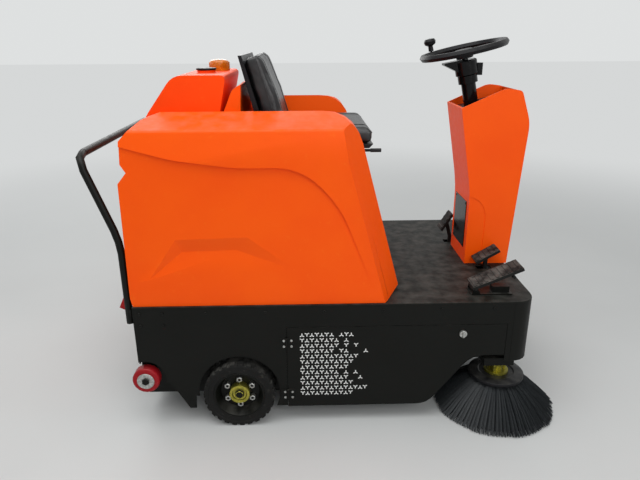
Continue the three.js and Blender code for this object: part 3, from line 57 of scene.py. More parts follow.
bpy.ops.object.camera_add(location=EYE)
camera = bpy.context.object
camera.name = "side_camera"
camera.data.lens = 32.14
camera.data.sensor_width = 36
ahead = Vector((
    math.sin(LOOK_ASIDE) * math.cos(LOOK_DOWN),
    math.cos(LOOK_ASIDE) * math.cos(LOOK_DOWN),
    -math.sin(LOOK_DOWN),
))
level = Vector((math.cos(LOOK_ASIDE), -math.sin(LOOK_ASIDE), 0))
upward = level.cross(ahead)
across = math.cos(TILT) * level + math.sin(TILT) * upward
upright = math.cos(TILT) * upward - math.sin(TILT) * level
camera.matrix_world = Matrix((
    (across.x, upright.x, -ahead.x, EYE.x),
    (across.y, upright.y, -ahead.y, EYE.y),
    (across.z, upright.z, -ahead.z, EYE.z),
    (0, 0, 0, 1),
))
scene.camera = camera


# ---------------------------------------------------------------- floor and light
# Plain pale floor, a wide soft lamp overhead and two softer ones at the sides,
# with an even pale sky for the rest.
def srgb(code):
    channels = [int(code[i:i + 2], 16) / 255 for i in (1, 3, 5)]
    linear = [c / 12.92 if c <= 0.04045 else ((c + 0.055) / 1.055) ** 2.4 for c in channels]
    return (*linear, 1.0)


def add_node(tree, kind, inputs=None, **settings):
    made = tree.nodes.new("ShaderNode" + kind)
    for name, value in settings.items():
        setattr(made, name, value)
    for socket, value in (inputs or {}).items():
        if isinstance(value, bpy.types.NodeSocket):
            tree.links.new(value, made.inputs[socket])
        else:
            made.inputs[socket].default_value = value
    return made


def new_material(name):
    material = bpy.data.materials.new(name)
    material.use_nodes = True
    material.node_tree.nodes.clear()
    return material, material.node_tree


def set_surface(tree, shader):
    output = add_node(tree, "OutputMaterial")
    tree.links.new(shader.outputs[0], output.inputs["Surface"])


def soft_lamp(name, place, aim_at, size, power):
    bpy.ops.object.light_add(type="AREA", location=place)
    lamp = bpy.context.object
    lamp.name = name
    lamp.data.shape = "RECTANGLE"
    lamp.data.size = size[0]
    lamp.data.size_y = size[1]
    lamp.data.energy = power
    aim = Vector(aim_at) - Vector(place)
    lamp.rotation_euler = aim.to_track_quat("-Z", "Y").to_euler()


soft_lamp("overhead_lamp", (-0.6, -0.9, 3.6), (0, 0.1, 0.5), (3.6, 3.0), 78)
soft_lamp("near_side_lamp", (1.4, -3.6, 2.3), (0, 0, 0.6), (2.6, 1.8), 46)
soft_lamp("far_side_lamp", (-1.6, 3.6, 2.4), (0, 0, 0.6), (2.6, 1.8), 34)

world = bpy.data.worlds.new("pale_room")
scene.world = world
world.use_nodes = True
sky = world.node_tree
sky.nodes.clear()
sky_path = add_node(sky, "LightPath")
sky_seen = add_node(sky, "Math", {
    0: sky_path.outputs["Is Camera Ray"],
    1: sky_path.outputs["Is Glossy Ray"],
}, operation="MAXIMUM")
sky_through = add_node(sky, "Math", {
    0: sky_seen.outputs[0],
    1: sky_path.outputs["Is Transmission Ray"],
}, operation="MAXIMUM")
sky_lit = add_node(sky, "Background", {"Color": srgb("#EDEFF0"), "Strength": 0.44})
sky_shown = add_node(sky, "Background", {"Color": srgb("#E9EBEB"), "Strength": 0.9})
sky_mix = add_node(sky, "MixShader", {
    0: sky_through.outputs[0],
    1: sky_lit.outputs[0],
    2: sky_shown.outputs[0],
})
sky_out = add_node(sky, "OutputWorld")
sky.links.new(sky_mix.outputs[0], sky_out.inputs["Surface"])

bpy.ops.mesh.primitive_plane_add(size=60)
floor = bpy.context.object
floor.name = "floor"
floor_paint, tree = new_material("pale_floor")
floor_place = add_node(tree, "TexCoord")
floor_cloud = add_node(tree, "TexNoise", {
    "Vector": floor_place.outputs["Object"],
    "Scale": 1.4,
    "Detail": 5.0,
})
floor_tint = add_node(tree, "ValToRGB", {"Fac": floor_cloud.outputs["Fac"]})
floor_tint.color_ramp.elements[0].color = srgb("#C9CBCA")
floor_tint.color_ramp.elements[1].color = srgb("#D3D5D4")
floor_skin = add_node(tree, "BsdfPrincipled", {
    "Base Color": floor_tint.outputs["Color"],
    "Roughness": 0.7,
})
far_off = add_node(tree, "VectorMath", {0: floor_place.outputs["Object"]}, operation="LENGTH")
fading = add_node(tree, "MapRange", {
    "Value": far_off.outputs["Value"],
    "From Min": 1.6,
    "From Max": 5.5,
}, interpolation_type="SMOOTHSTEP")
floor_path = add_node(tree, "LightPath")
floor_seen = add_node(tree, "Math", {
    0: floor_path.outputs["Is Camera Ray"],
    1: floor_path.outputs["Is Glossy Ray"],
}, operation="MAXIMUM")
floor_through = add_node(tree, "Math", {
    0: floor_seen.outputs[0],
    1: floor_path.outputs["Is Transmission Ray"],
}, operation="MAXIMUM")
floor_fade = add_node(tree, "Math", {
    0: fading.outputs[0],
    1: floor_through.outputs[0],
}, operation="MULTIPLY")
floor_haze = add_node(tree, "Emission", {"Color": srgb("#E0E2E2"), "Strength": 0.9})
set_surface(tree, add_node(tree, "MixShader", {
    0: floor_fade.outputs[0],
    1: floor_skin.outputs[0],
    2: floor_haze.outputs[0],
}))
floor.data.materials.append(floor_paint)


# ---------------------------------------------------------------- orange mouldings
# Rotomoulded polyethylene covers: hood over the machinery and shroud round the
# column. Dyed through, satin, with a faint orange peel and soft moulded edges.
ORANGE = "#FF5A00"
ORANGE_SHADE = "#FC5400"
ORANGE_WORN = "#FF6810"


# Satin skin of one colour: cloudy shade, pores, and dust that settles on level faces.
def satin_skin(name, colour, shade, worn, gloss, pore_mm, pore_depth, dust, dust_tone="#A9A79F"):
    material, tree = new_material(name)
    place = add_node(tree, "TexCoord").outputs["Object"]
    cloud = add_node(tree, "TexNoise", {"Vector": place, "Scale": 5.0, "Detail": 4.0})
    tint = add_node(tree, "ValToRGB", {"Fac": cloud.outputs["Fac"]})
    tint.color_ramp.elements[0].position = 0.3
    tint.color_ramp.elements[0].color = srgb(shade)
    tint.color_ramp.elements[1].position = 0.62
    tint.color_ramp.elements[1].color = srgb(colour)
    scuff = add_node(tree, "TexNoise", {"Vector": place, "Scale": 60.0, "Detail": 6.0})
    scuffed = add_node(tree, "MapRange", {
        "Value": scuff.outputs["Fac"],
        "From Min": 0.62,
        "From Max": 0.78,
        "To Max": 0.55,
    })
    rubbed = add_node(tree, "MixRGB", {
        "Fac": scuffed.outputs[0],
        "Color1": tint.outputs["Color"],
        "Color2": srgb(worn),
    })
    facing = add_node(tree, "NewGeometry")
    upright_share = add_node(tree, "SeparateXYZ", {"Vector": facing.outputs["Normal"]})
    settled = add_node(tree, "MapRange", {
        "Value": upright_share.outputs["Z"],
        "From Min": 0.3,
        "From Max": 1.0,
        "To Max": dust,
    })
    drift = add_node(tree, "TexNoise", {"Vector": place, "Scale": 22.0, "Detail": 8.0})
    drifted = add_node(tree, "MapRange", {
        "Value": drift.outputs["Fac"],
        "From Min": 0.38,
        "From Max": 0.7,
    })
    dusting = add_node(tree, "Math", {
        0: settled.outputs[0],
        1: drifted.outputs[0],
    }, operation="MULTIPLY")
    dusty = add_node(tree, "MixRGB", {
        "Fac": dusting.outputs[0],
        "Color1": rubbed.outputs["Color"],
        "Color2": srgb(dust_tone),
    })
    sheen = add_node(tree, "MapRange", {
        "Value": scuff.outputs["Fac"],
        "From Min": 0.3,
        "From Max": 0.7,
        "To Min": gloss - 0.05,
        "To Max": gloss + 0.07,
    })
    pores = add_node(tree, "TexNoise", {"Vector": place, "Scale": 1000.0 / pore_mm, "Detail": 2.0})
    relief = add_node(tree, "Bump", {
        "Height": pores.outputs["Fac"],
        "Distance": pore_depth / 1000,
        "Strength": 0.6,
    })
    set_surface(tree, add_node(tree, "BsdfPrincipled", {
        "Base Color": dusty.outputs["Color"],
        "Roughness": sheen.outputs[0],
        "Normal": relief.outputs["Normal"],
        "Specular IOR Level": 0.18,
    }))
    return material


# Gives a hard part its finish and, with a width, softens its edges like a real moulding or fold.
def finish_part(name, material, edge_mm=0.0, steps=2, angle=32):
    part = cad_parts[name]
    for place in part.material_slots:
        place.material = material
    part.data.polygons.foreach_set("use_smooth", [True] * len(part.data.polygons))
    weld = part.modifiers.new("weld", "WELD")
    weld.merge_threshold = 0.00001
    flatten = part.modifiers.new("flatten", "DECIMATE")
    flatten.decimate_type = "DISSOLVE"
    flatten.angle_limit = math.radians(1.0)
    if edge_mm:
        edge = part.modifiers.new("edge", "BEVEL")
        edge.width = edge_mm / 1000
        edge.segments = steps
        edge.limit_method = "ANGLE"
        edge.angle_limit = math.radians(angle)
        edge.use_clamp_overlap = True
        edge.harden_normals = False
    shading = part.modifiers.new("shading", "WEIGHTED_NORMAL")
    shading.weight = 100
    shading.keep_sharp = False
    return part


orange_skin = satin_skin("orange_skin", ORANGE, ORANGE_SHADE, ORANGE_WORN, 0.42, 1.6, 0.05, 0.10)
finish_part("hood", orange_skin, 7.0, 3, 20)
finish_part("column_shroud", orange_skin, 5.0, 3)
tank_skin = satin_skin("tank_skin", "#FF4E00", "#F84800", "#FF5E14", 0.46, 2.2, 0.05, 0.08)
finish_part("water_tank", tank_skin, 12.0, 4)


# ---------------------------------------------------------------- black steelwork
# Folded sheet panels, frame, fork, brackets and the push handle: mild steel,
# welded and powder coated satin black. The deck has a gritty anti-slip coat.
coat_black = satin_skin("coat_black", "#090A07", "#060704", "#141511", 0.44, 0.9, 0.04, 0.14)
deck_black = satin_skin("deck_black", "#161713", "#12130F", "#262722", 0.55, 1.4, 0.25, 0.10)
for name in (
    "left_side_panel", "right_side_panel", "front_panel", "right_door", "chassis_frame",
    "brush_housing", "hopper", "left_wheel_carrier", "right_wheel_carrier", "front_fork",
    "accelerator_bracket", "side_brush_arm", "pedal_shaft", "seat_rails", "hopper_latch",
):
    finish_part(name, coat_black, 0.8)
finish_part("deck_plate", deck_black, 1.0)
finish_part("hopper_handle", coat_black)
finish_part("steering_gearbox", coat_black, 1.0)


# ---------------------------------------------------------------- black mouldings
# Injection moulded and cast black parts: steering wheel and column, knob,
# instrument panel and its switches, tank cap and motor covers.
plastic_black = satin_skin("plastic_black", "#17171A", "#111113", "#2B2B2E", 0.36, 0.8, 0.04, 0.12)
gloss_black = satin_skin("gloss_black", "#0C0C0E", "#090909", "#1B1B1D", 0.16, 3.0, 0.01, 0.05)
for name in (
    "steering_wheel", "wheel_knob", "instrument_panel", "battery_gauge", "key_switch",
    "brush_switch", "lamp_switch", "brush_motor", "suction_fan", "right_battery",
    "left_battery", "seat_pan", "seat_lever", "dust_filter",
):
    finish_part(name, plastic_black, 1.0)
finish_part("tank_cap", plastic_black, 2.5, 3)
finish_part("steering_column", gloss_black, 1.6)
finish_part("steering_shaft", gloss_black)
finish_part("cover_plate", gloss_black, 0.8)


# ---------------------------------------------------------------- rubber
# Moulded rubber: pedal pads with their ribs and the flap across the front of the
# main brush. Matt, slightly grey, dusty in the grooves.
rubber = satin_skin("rubber", "#1C1C1B", "#131312", "#3A3936", 0.72, 0.7, 0.08, 0.30)
for name in ("brake_pedal", "flap_pedal", "accelerator_pedal"):
    finish_part(name, rubber, 1.2)
finish_part("front_flap", rubber, 0.8)


# ---------------------------------------------------------------- main brush
# Full-width roller of polypropylene bristles set in a steel tube, driven by a
# motor at its left end. It shows only in the gap under the door.
bristle_black, tree = new_material("bristle_black")
strand_place = add_node(tree, "TexCoord").outputs["Object"]
strand_noise = add_node(tree, "TexNoise", {"Vector": strand_place, "Scale": 420.0, "Detail": 3.0})
strand_tint = add_node(tree, "ValToRGB", {"Fac": strand_noise.outputs["Fac"]})
strand_tint.color_ramp.elements[0].position = 0.35
strand_tint.color_ramp.elements[0].color = srgb("#15171A")
strand_tint.color_ramp.elements[1].position = 0.7
strand_tint.color_ramp.elements[1].color = srgb("#3B3F41")
strand_bump = add_node(tree, "Bump", {"Height": strand_noise.outputs["Fac"], "Distance": 0.0006})
set_surface(tree, add_node(tree, "BsdfPrincipled", {
    "Base Color": strand_tint.outputs["Color"],
    "Roughness": 0.55,
    "Specular IOR Level": 0.35,
    "Normal": strand_bump.outputs["Normal"],
}))
finish_part("main_brush", bristle_black)


# ---------------------------------------------------------------- bright metal
# Yellow-passivated zinc on hubs and rings, plain zinc on bolts and the door lock; the door hinges are
# coated black.
def plated(name, colour, shade, gloss):
    material, tree = new_material(name)
    place = add_node(tree, "TexCoord").outputs["Object"]
    cloud = add_node(tree, "TexNoise", {"Vector": place, "Scale": 160.0, "Detail": 5.0})
    tint = add_node(tree, "ValToRGB", {"Fac": cloud.outputs["Fac"]})
    tint.color_ramp.elements[0].position = 0.35
    tint.color_ramp.elements[0].color = srgb(shade)
    tint.color_ramp.elements[1].position = 0.65
    tint.color_ramp.elements[1].color = srgb(colour)
    sheen = add_node(tree, "MapRange", {
        "Value": cloud.outputs["Fac"],
        "To Min": gloss - 0.08,
        "To Max": gloss + 0.14,
    })
    set_surface(tree, add_node(tree, "BsdfPrincipled", {
        "Base Color": tint.outputs["Color"],
        "Roughness": sheen.outputs[0],
        "Metallic": 0.9,
    }))
    return material


yellow_zinc = plated("yellow_zinc", "#B9B04A", "#8F8A3E", 0.36)
bright_zinc = plated("bright_zinc", "#C4C5C2", "#9B9C98", 0.32)
finish_part("side_brush_hub", yellow_zinc, 1.2)
for name in ("upper_door_hinge", "lower_door_hinge"):
    finish_part(name, coat_black, 0.4)
finish_part("door_lock", bright_zinc, 0.6)


# ---------------------------------------------------------------- wheels
# Solid rubber tyres with square lugs round both shoulders, pressed on black
# pressed-steel rims, each held by six bright bolts round a yellow zinc hub ring.
RIM_OUT = 0.0902
LUG_RISE = 0.0058
tyre_rubber = satin_skin("tyre_rubber", "#1B1B1A", "#121211", "#45433E", 0.78, 1.1, 0.12, 0.15)


def pick_faces(piece, wanted):
    bpy.ops.object.mode_set(mode="EDIT")
    bpy.ops.mesh.select_mode(type="FACE")
    bpy.ops.mesh.select_all(action="DESELECT")
    bpy.ops.object.mode_set(mode="OBJECT")
    for face in piece.data.polygons:
        face.select = wanted(face)
    bpy.ops.object.mode_set(mode="EDIT")


def settle(piece, location=True, rotation=True, scale=True):
    bpy.ops.object.select_all(action="DESELECT")
    piece.select_set(True)
    bpy.context.view_layer.objects.active = piece
    bpy.ops.object.transform_apply(location=location, rotation=rotation, scale=scale)


def bevel_and_smooth(piece, width_mm, steps=2, angle=32):
    bpy.context.view_layer.objects.active = piece
    if width_mm:
        edge = piece.modifiers.new("edge", "BEVEL")
        edge.width = width_mm / 1000
        edge.segments = steps
        edge.limit_method = "ANGLE"
        edge.angle_limit = math.radians(angle)
        bpy.ops.object.modifier_apply(modifier="edge")
    bpy.ops.object.select_all(action="DESELECT")
    piece.select_set(True)
    bpy.ops.object.shade_smooth_by_angle(angle=math.radians(38))


def dress(piece, name, material, body, replaces=()):
    piece.name = name
    piece.data.materials.clear()
    piece.data.materials.append(material)
    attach(piece, body)
    if replaces:
        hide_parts(*replaces)


def treaded_tyre(node, body, rim, count):
    low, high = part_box(node)
    centre = [(a + b) / 2 for a, b in zip(low, high)]
    radius = (high[2] - low[2]) / 2
    width = high[1] - low[1]
    bpy.ops.object.select_all(action="DESELECT")
    bpy.ops.mesh.primitive_cylinder_add(
        vertices=count * 3, radius=radius - LUG_RISE, depth=width,
        end_fill_type="NGON", rotation=(math.pi / 2, 0, 0),
    )
    tyre = bpy.context.object
    settle(tyre)
    bpy.ops.object.mode_set(mode="EDIT")
    for side in (-1, 1):
        bpy.ops.mesh.select_all(action="SELECT")
        bpy.ops.mesh.bisect(plane_co=(0, side * width * 0.2, 0), plane_no=(0, 1, 0))
    bpy.ops.object.mode_set(mode="OBJECT")

    pick_faces(tyre, lambda face: abs(face.normal.y) > 0.9)
    bpy.ops.mesh.inset(thickness=0.009)
    bpy.ops.mesh.inset(thickness=0.002, depth=-0.002)
    bpy.ops.mesh.inset(thickness=radius - LUG_RISE - 0.011 - rim)
    bpy.ops.mesh.delete(type="FACE")
    bpy.ops.mesh.select_mode(type="EDGE")
    bpy.ops.mesh.select_non_manifold()
    bpy.ops.mesh.bridge_edge_loops()
    bpy.ops.mesh.select_all(action="SELECT")
    bpy.ops.mesh.normals_make_consistent(inside=False)
    bpy.ops.object.mode_set(mode="OBJECT")

    def on_lug(face):
        turn = math.atan2(face.center.z, face.center.x) / (2 * math.pi) * count * 3
        outer = Vector((face.center.x, 0, face.center.z)).length > radius - LUG_RISE - 0.002
        shift = 0 if face.center.y > 0 else 1
        return (
            outer
            and abs(face.normal.y) < 0.3
            and abs(face.center.y) > width * 0.2
            and (math.floor(turn + 0.001) + shift) % 3 != 0
        )

    pick_faces(tyre, on_lug)
    bpy.ops.mesh.inset(thickness=0.0010, depth=LUG_RISE)
    bpy.ops.object.mode_set(mode="OBJECT")
    tyre.location = centre
    settle(tyre)
    bevel_and_smooth(tyre, 1.3)
    dress(tyre, node + "_tread", tyre_rubber, body, (node,))


treaded_tyre("right_rear_tyre", "right_rear_wheel", RIM_OUT, 27)
treaded_tyre("left_rear_tyre", "left_rear_wheel", RIM_OUT, 27)
front_rim = (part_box("front_hub")[1][2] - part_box("front_hub")[0][2]) / 2 + 0.0002
treaded_tyre("front_tyre", "front_wheel", front_rim, 23)
for name in ("right_rear_rim", "left_rear_rim", "front_hub"):
    finish_part(name, coat_black, 1.5)


# Bolt head with a chamfered rim and a hex recess, standing along `facing`.
def bolt_head(place, facing, radius, height, sides=6):
    bpy.ops.object.select_all(action="DESELECT")
    bpy.ops.mesh.primitive_cylinder_add(vertices=sides, radius=radius, depth=height)
    head = bpy.context.object
    pick_faces(head, lambda face: face.normal.z > 0.9)
    bpy.ops.mesh.inset(thickness=radius * 0.12, depth=radius * 0.1)
    bpy.ops.mesh.inset(thickness=radius * 0.3)
    bpy.ops.mesh.inset(thickness=radius * 0.02, depth=-height * 0.35)
    bpy.ops.object.mode_set(mode="OBJECT")
    head.rotation_euler = Vector(facing).to_track_quat("Z", "Y").to_euler()
    head.location = Vector(place) + Vector(facing) * height / 2
    settle(head)
    return head


def join_all(parts):
    bpy.ops.object.select_all(action="DESELECT")
    for part in parts:
        part.select_set(True)
    bpy.context.view_layer.objects.active = parts[0]
    bpy.ops.object.join()
    return parts[0]


# Hub ring, axle nut and wheel bolts of one rear wheel; `way` is -1 on the right side.
def wheel_fixings(node, body, way):
    low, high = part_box(node)
    centre = Vector([(a + b) / 2 for a, b in zip(low, high)])
    inboard = high[1] if way < 0 else low[1]
    bolts = []
    for i in range(6):
        turn = (i + 0.5) * math.pi / 3
        place = Vector((
            centre.x + 0.05 * math.cos(turn),
            inboard + way * 0.041,
            centre.z + 0.05 * math.sin(turn),
        ))
        bolts.append(bolt_head(place, (0, way, 0), 0.0112, 0.0165))
    bolts = join_all(bolts)
    bevel_and_smooth(bolts, 0.5)
    dress(bolts, node + "_bolts", bright_zinc, body)

    bpy.ops.object.select_all(action="DESELECT")
    bpy.ops.mesh.primitive_cylinder_add(
        vertices=48, radius=0.0353, depth=0.029, rotation=(-way * math.pi / 2, 0, 0),
    )
    ring = bpy.context.object
    settle(ring)
    pick_faces(ring, lambda face: face.normal.y * way > 0.9)
    bpy.ops.mesh.inset(thickness=0.003, depth=0.0)
    bpy.ops.mesh.inset(thickness=0.006, depth=0.0012)
    bpy.ops.mesh.inset(thickness=0.002, depth=-0.006)
    bpy.ops.object.mode_set(mode="OBJECT")
    ring.location = (centre.x, inboard + way * 0.0575, centre.z)
    settle(ring)
    nut = bolt_head((centre.x, inboard + way * 0.066, centre.z), (0, way, 0), 0.0145, 0.008)
    ring = join_all([ring, nut])
    bevel_and_smooth(ring, 0.7)
    dress(ring, node + "_hub_ring", yellow_zinc, body)


wheel_fixings("right_rear_rim", "right_rear_wheel", -1)
wheel_fixings("left_rear_rim", "left_rear_wheel", 1)


# ---------------------------------------------------------------- hopper rollers
# Cast polyurethane rollers at the hopper's rear corners, each on a bright bolt
# with a washer.
red_roller = satin_skin("red_roller", "#A01820", "#8A1118", "#C2555A", 0.34, 1.5, 0.03, 0.10)
for name in ("left_roller", "right_roller"):
    finish_part(name, red_roller, 2.0, 3)


def roller_fixings(node, body, way):
    low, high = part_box(node)
    centre = Vector([(a + b) / 2 for a, b in zip(low, high)])
    face_y = low[1] if way < 0 else high[1]
    bpy.ops.object.select_all(action="DESELECT")
    bpy.ops.mesh.primitive_cylinder_add(
        vertices=40, radius=0.030, depth=0.003, rotation=(-way * math.pi / 2, 0, 0),
    )
    washer = bpy.context.object
    settle(washer)
    pick_faces(washer, lambda face: face.normal.y * way > 0.9)
    bpy.ops.mesh.inset(thickness=0.004, depth=0.0015)
    bpy.ops.mesh.inset(thickness=0.006, depth=-0.001)
    bpy.ops.object.mode_set(mode="OBJECT")
    washer.location = (centre.x, face_y + way * 0.0008, centre.z)
    settle(washer)
    bevel_and_smooth(washer, 0.4)
    dress(washer, node + "_washer", bright_zinc, body)


roller_fixings("right_roller", "right_hopper_roller", -1)
roller_fixings("left_roller", "left_hopper_roller", 1)


# ---------------------------------------------------------------- side brush
# A moulded disc carrying three rings of polypropylene tufts that splay out to the
# floor. Each tuft is a bundle of thin tapering strands.
BRUSH_CENTRE = Vector((0.600, -0.314, 0.0))
DISC_TOP = 0.140
SPLAY = ((0.060, 0.128), (0.118, 0.096), (0.168, 0.056), (0.2205, 0.0035))


def bristle_strand(root, reach, thick, sway, drop):
    bpy.ops.object.select_all(action="DESELECT")
    bpy.ops.mesh.primitive_circle_add(
        vertices=3, radius=thick, fill_type="NOTHING",
        location=(SPLAY[0][0], sway * 0.6, SPLAY[0][1] + root), rotation=(0, math.radians(110), 0),
    )
    strand = bpy.context.object
    bpy.ops.object.transform_apply(location=True, rotation=True, scale=True)
    bpy.ops.object.mode_set(mode="EDIT")
    bpy.ops.mesh.select_mode(type="EDGE")
    bpy.ops.mesh.select_all(action="SELECT")
    for (r0, z0), (r1, z1) in zip(SPLAY, SPLAY[1:]):
        step = ((r1 - r0) * reach, sway * 0.33, (z1 - z0) * drop)
        bpy.ops.mesh.extrude_region_move(TRANSFORM_OT_translate={"value": step})
    bpy.ops.object.mode_set(mode="OBJECT")
    return strand


strands = []
for i in range(12):
    around = 2 * math.pi * i / 12
    spread = 0.0062 * math.cos(around)
    lift = 0.0036 * math.sin(around)
    reach = 1.0 - 0.016 * ((i * 5) % 4)
    fall = 1.0 + lift / 0.16 - 0.016 * ((i * 7) % 3)
    strands.append(bristle_strand(lift, reach, 0.0015, spread, min(fall, 1.0)))
tuft = join_all(strands)
tuft.name = "tuft"
tufts = [tuft]
TUFT_RINGS = ((46, 0.0, 0.004, 1.0), (46, 0.5, -0.001, 0.985), (40, 0.25, 0.004, 0.90))
for count, start, rise, size in TUFT_RINGS:
    for i in range(count):
        turned_tuft = tuft.copy()
        turned_tuft.data = tuft.data.copy()
        scene.collection.objects.link(turned_tuft)
        turn = 2 * math.pi * (i + start) / count
        wobble = 1.0 - 0.03 * ((i * 11) % 5) / 4
        turned_tuft.data.transform(
            Matrix.Translation(BRUSH_CENTRE + Vector((0, 0, rise * 0.9)))
            @ Matrix.Rotation(turn, 4, "Z")
            @ Matrix.Diagonal((size * wobble, 1.0, 1.0 - 0.02 * (i % 3), 1.0))
        )
        tufts.append(turned_tuft)
bpy.data.objects.remove(tufts.pop(0))
bristles = join_all(tufts)
bpy.ops.object.shade_smooth_by_angle(angle=math.radians(80))
dress(bristles, "side_brush_bristles", bristle_black, "side_brush_unit", ("side_brush",))

bpy.ops.object.select_all(action="DESELECT")
bpy.ops.mesh.primitive_cone_add(
    vertices=96, radius1=0.190, radius2=0.066, depth=0.104, end_fill_type="NOTHING",
    location=(BRUSH_CENTRE.x, BRUSH_CENTRE.y, 0.064),
)
skirt = bpy.context.object
settle(skirt)


def every_other_rib(face):
    turn = math.atan2(face.center.y - BRUSH_CENTRE.y, face.center.x - BRUSH_CENTRE.x)
    return round(turn / math.pi * 48 + 0.5) % 2 == 0


pick_faces(skirt, every_other_rib)
bpy.ops.mesh.inset(thickness=0.0006, depth=-0.003, use_individual=True)
bpy.ops.object.mode_set(mode="OBJECT")
thicken = skirt.modifiers.new("thicken", "SOLIDIFY")
thicken.thickness = 0.004
bpy.ops.object.modifier_apply(modifier="thicken")
dress(skirt, "side_brush_inner", bristle_black, "side_brush_unit")

bpy.ops.object.select_all(action="DESELECT")
bpy.ops.mesh.primitive_cylinder_add(
    vertices=72, radius=0.099, depth=0.012, location=(BRUSH_CENTRE.x, BRUSH_CENTRE.y, DISC_TOP - 0.0075),
)
disc = bpy.context.object
settle(disc)
pick_faces(disc, lambda face: face.normal.z > 0.9)
bpy.ops.mesh.inset(thickness=0.010, depth=0.0025)
bpy.ops.mesh.inset(thickness=0.024, depth=0.0012)
bpy.ops.mesh.inset(thickness=0.004, depth=-0.0025)
bpy.ops.object.mode_set(mode="OBJECT")
bevel_and_smooth(disc, 1.2)
dress(disc, "side_brush_disc", plastic_black, "side_brush_unit")


# ---------------------------------------------------------------- seat
# Foam cushion and back, each covered in black vinyl with a piped seam round its
# edge, on the black pan.
vinyl, tree = new_material("vinyl")
vinyl_place = add_node(tree, "TexCoord").outputs["Object"]
vinyl_cells = add_node(tree, "TexVoronoi", {"Vector": vinyl_place, "Scale": 620.0})
vinyl_folds = add_node(tree, "TexNoise", {"Vector": vinyl_place, "Scale": 38.0, "Detail": 5.0})
vinyl_tint = add_node(tree, "ValToRGB", {"Fac": vinyl_folds.outputs["Fac"]})
vinyl_tint.color_ramp.elements[0].position = 0.35
vinyl_tint.color_ramp.elements[0].color = srgb("#131314")
vinyl_tint.color_ramp.elements[1].position = 0.7
vinyl_tint.color_ramp.elements[1].color = srgb("#222224")
vinyl_fold_bump = add_node(tree, "Bump", {
    "Height": vinyl_folds.outputs["Fac"],
    "Distance": 0.0016,
    "Strength": 0.5,
})
vinyl_grain = add_node(tree, "Bump", {
    "Height": vinyl_cells.outputs["Distance"],
    "Distance": 0.00015,
    "Strength": 0.7,
    "Normal": vinyl_fold_bump.outputs["Normal"],
})
vinyl_sheen = add_node(tree, "MapRange", {
    "Value": vinyl_folds.outputs["Fac"],
    "To Min": 0.26,
    "To Max": 0.44,
})
set_surface(tree, add_node(tree, "BsdfPrincipled", {
    "Base Color": vinyl_tint.outputs["Color"],
    "Roughness": vinyl_sheen.outputs[0],
    "Normal": vinyl_grain.outputs["Normal"],
    "Specular IOR Level": 0.5,
}))


def foam_block(name, size, crown_edge):
    bpy.ops.object.select_all(action="DESELECT")
    bpy.ops.mesh.primitive_cube_add(size=1)
    block = bpy.context.object
    block.name = name
    block.scale = size
    settle(block)
    bpy.ops.object.mode_set(mode="EDIT")
    bpy.ops.mesh.select_all(action="SELECT")
    bpy.ops.mesh.bevel(offset=crown_edge, segments=4, affect="EDGES")
    bpy.ops.object.mode_set(mode="OBJECT")
    remesh = block.modifiers.new("remesh", "REMESH")
    remesh.mode = "VOXEL"
    remesh.voxel_size = 0.0055
    bpy.ops.object.modifier_apply(modifier="remesh")
    return block


def inflate(block, pressure, cap):
    before = [point.co.copy() for point in block.data.vertices]
    swell = block.modifiers.new("swell", "CLOTH")
    swell.settings.quality = 5
    swell.settings.use_pressure = True
    swell.settings.uniform_pressure_force = pressure
    swell.settings.effector_weights.gravity = 0
    swell.point_cache.frame_start = 1
    swell.point_cache.frame_end = 20
    for moment in range(1, 21):
        scene.frame_set(moment)
    bpy.context.view_layer.objects.active = block
    bpy.ops.object.modifier_apply(modifier="swell")
    scene.frame_set(1)
    for point, start in zip(block.data.vertices, before):
        move = point.co - start
        if move.length > cap:
            point.co = start + move.normalized() * cap
    round_off = block.modifiers.new("round_off", "SUBSURF")
    round_off.levels = 1
    bpy.context.view_layer.objects.active = block
    bpy.ops.object.modifier_apply(modifier="round_off")
    bpy.ops.object.select_all(action="DESELECT")
    block.select_set(True)
    bpy.ops.object.shade_smooth()


# A raised cord of vinyl round the block where two planes `low` and `high` cut it.
def piping(block, axis, low, high, proud):
    bpy.ops.object.select_all(action="DESELECT")
    band = block.copy()
    band.data = block.data.copy()
    scene.collection.objects.link(band)
    band.select_set(True)
    bpy.context.view_layer.objects.active = band
    bpy.ops.object.mode_set(mode="EDIT")
    for at, inner in ((low, True), (high, False)):
        bpy.ops.mesh.select_all(action="SELECT")
        bpy.ops.mesh.bisect(
            plane_co=Vector(axis) * at, plane_no=axis, clear_inner=inner, clear_outer=not inner,
        )
    bpy.ops.object.mode_set(mode="OBJECT")
    cord = band.modifiers.new("cord", "SOLIDIFY")
    cord.thickness = proud
    cord.offset = 1
    bpy.ops.object.modifier_apply(modifier="cord")
    bevel_and_smooth(band, 1.2, 3)
    return band


cushion_low, cushion_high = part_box("seat_cushion")
cushion = foam_block("cushion", (0.286, 0.458, 0.044), 0.013)
inflate(cushion, 4.0, 0.008)
cushion_cords = [
    piping(cushion, (0, 0, 1), 0.0085, 0.0125, 0.0024),
    piping(cushion, (0, 1, 0), -0.152, -0.149, 0.0016),
    piping(cushion, (0, 1, 0), 0.149, 0.152, 0.0016),
]
cushion = join_all([cushion, *cushion_cords])
cushion.location = (
    (cushion_low[0] + cushion_high[0]) / 2,
    (cushion_low[1] + cushion_high[1]) / 2,
    (cushion_low[2] + cushion_high[2]) / 2 + 0.001,
)
settle(cushion)
for point in cushion.data.vertices:
    point.co.z = max(point.co.z, cushion_low[2] + 0.0004)
dress(cushion, "seat_cushion_cover", vinyl, "seat", ("seat_cushion",))

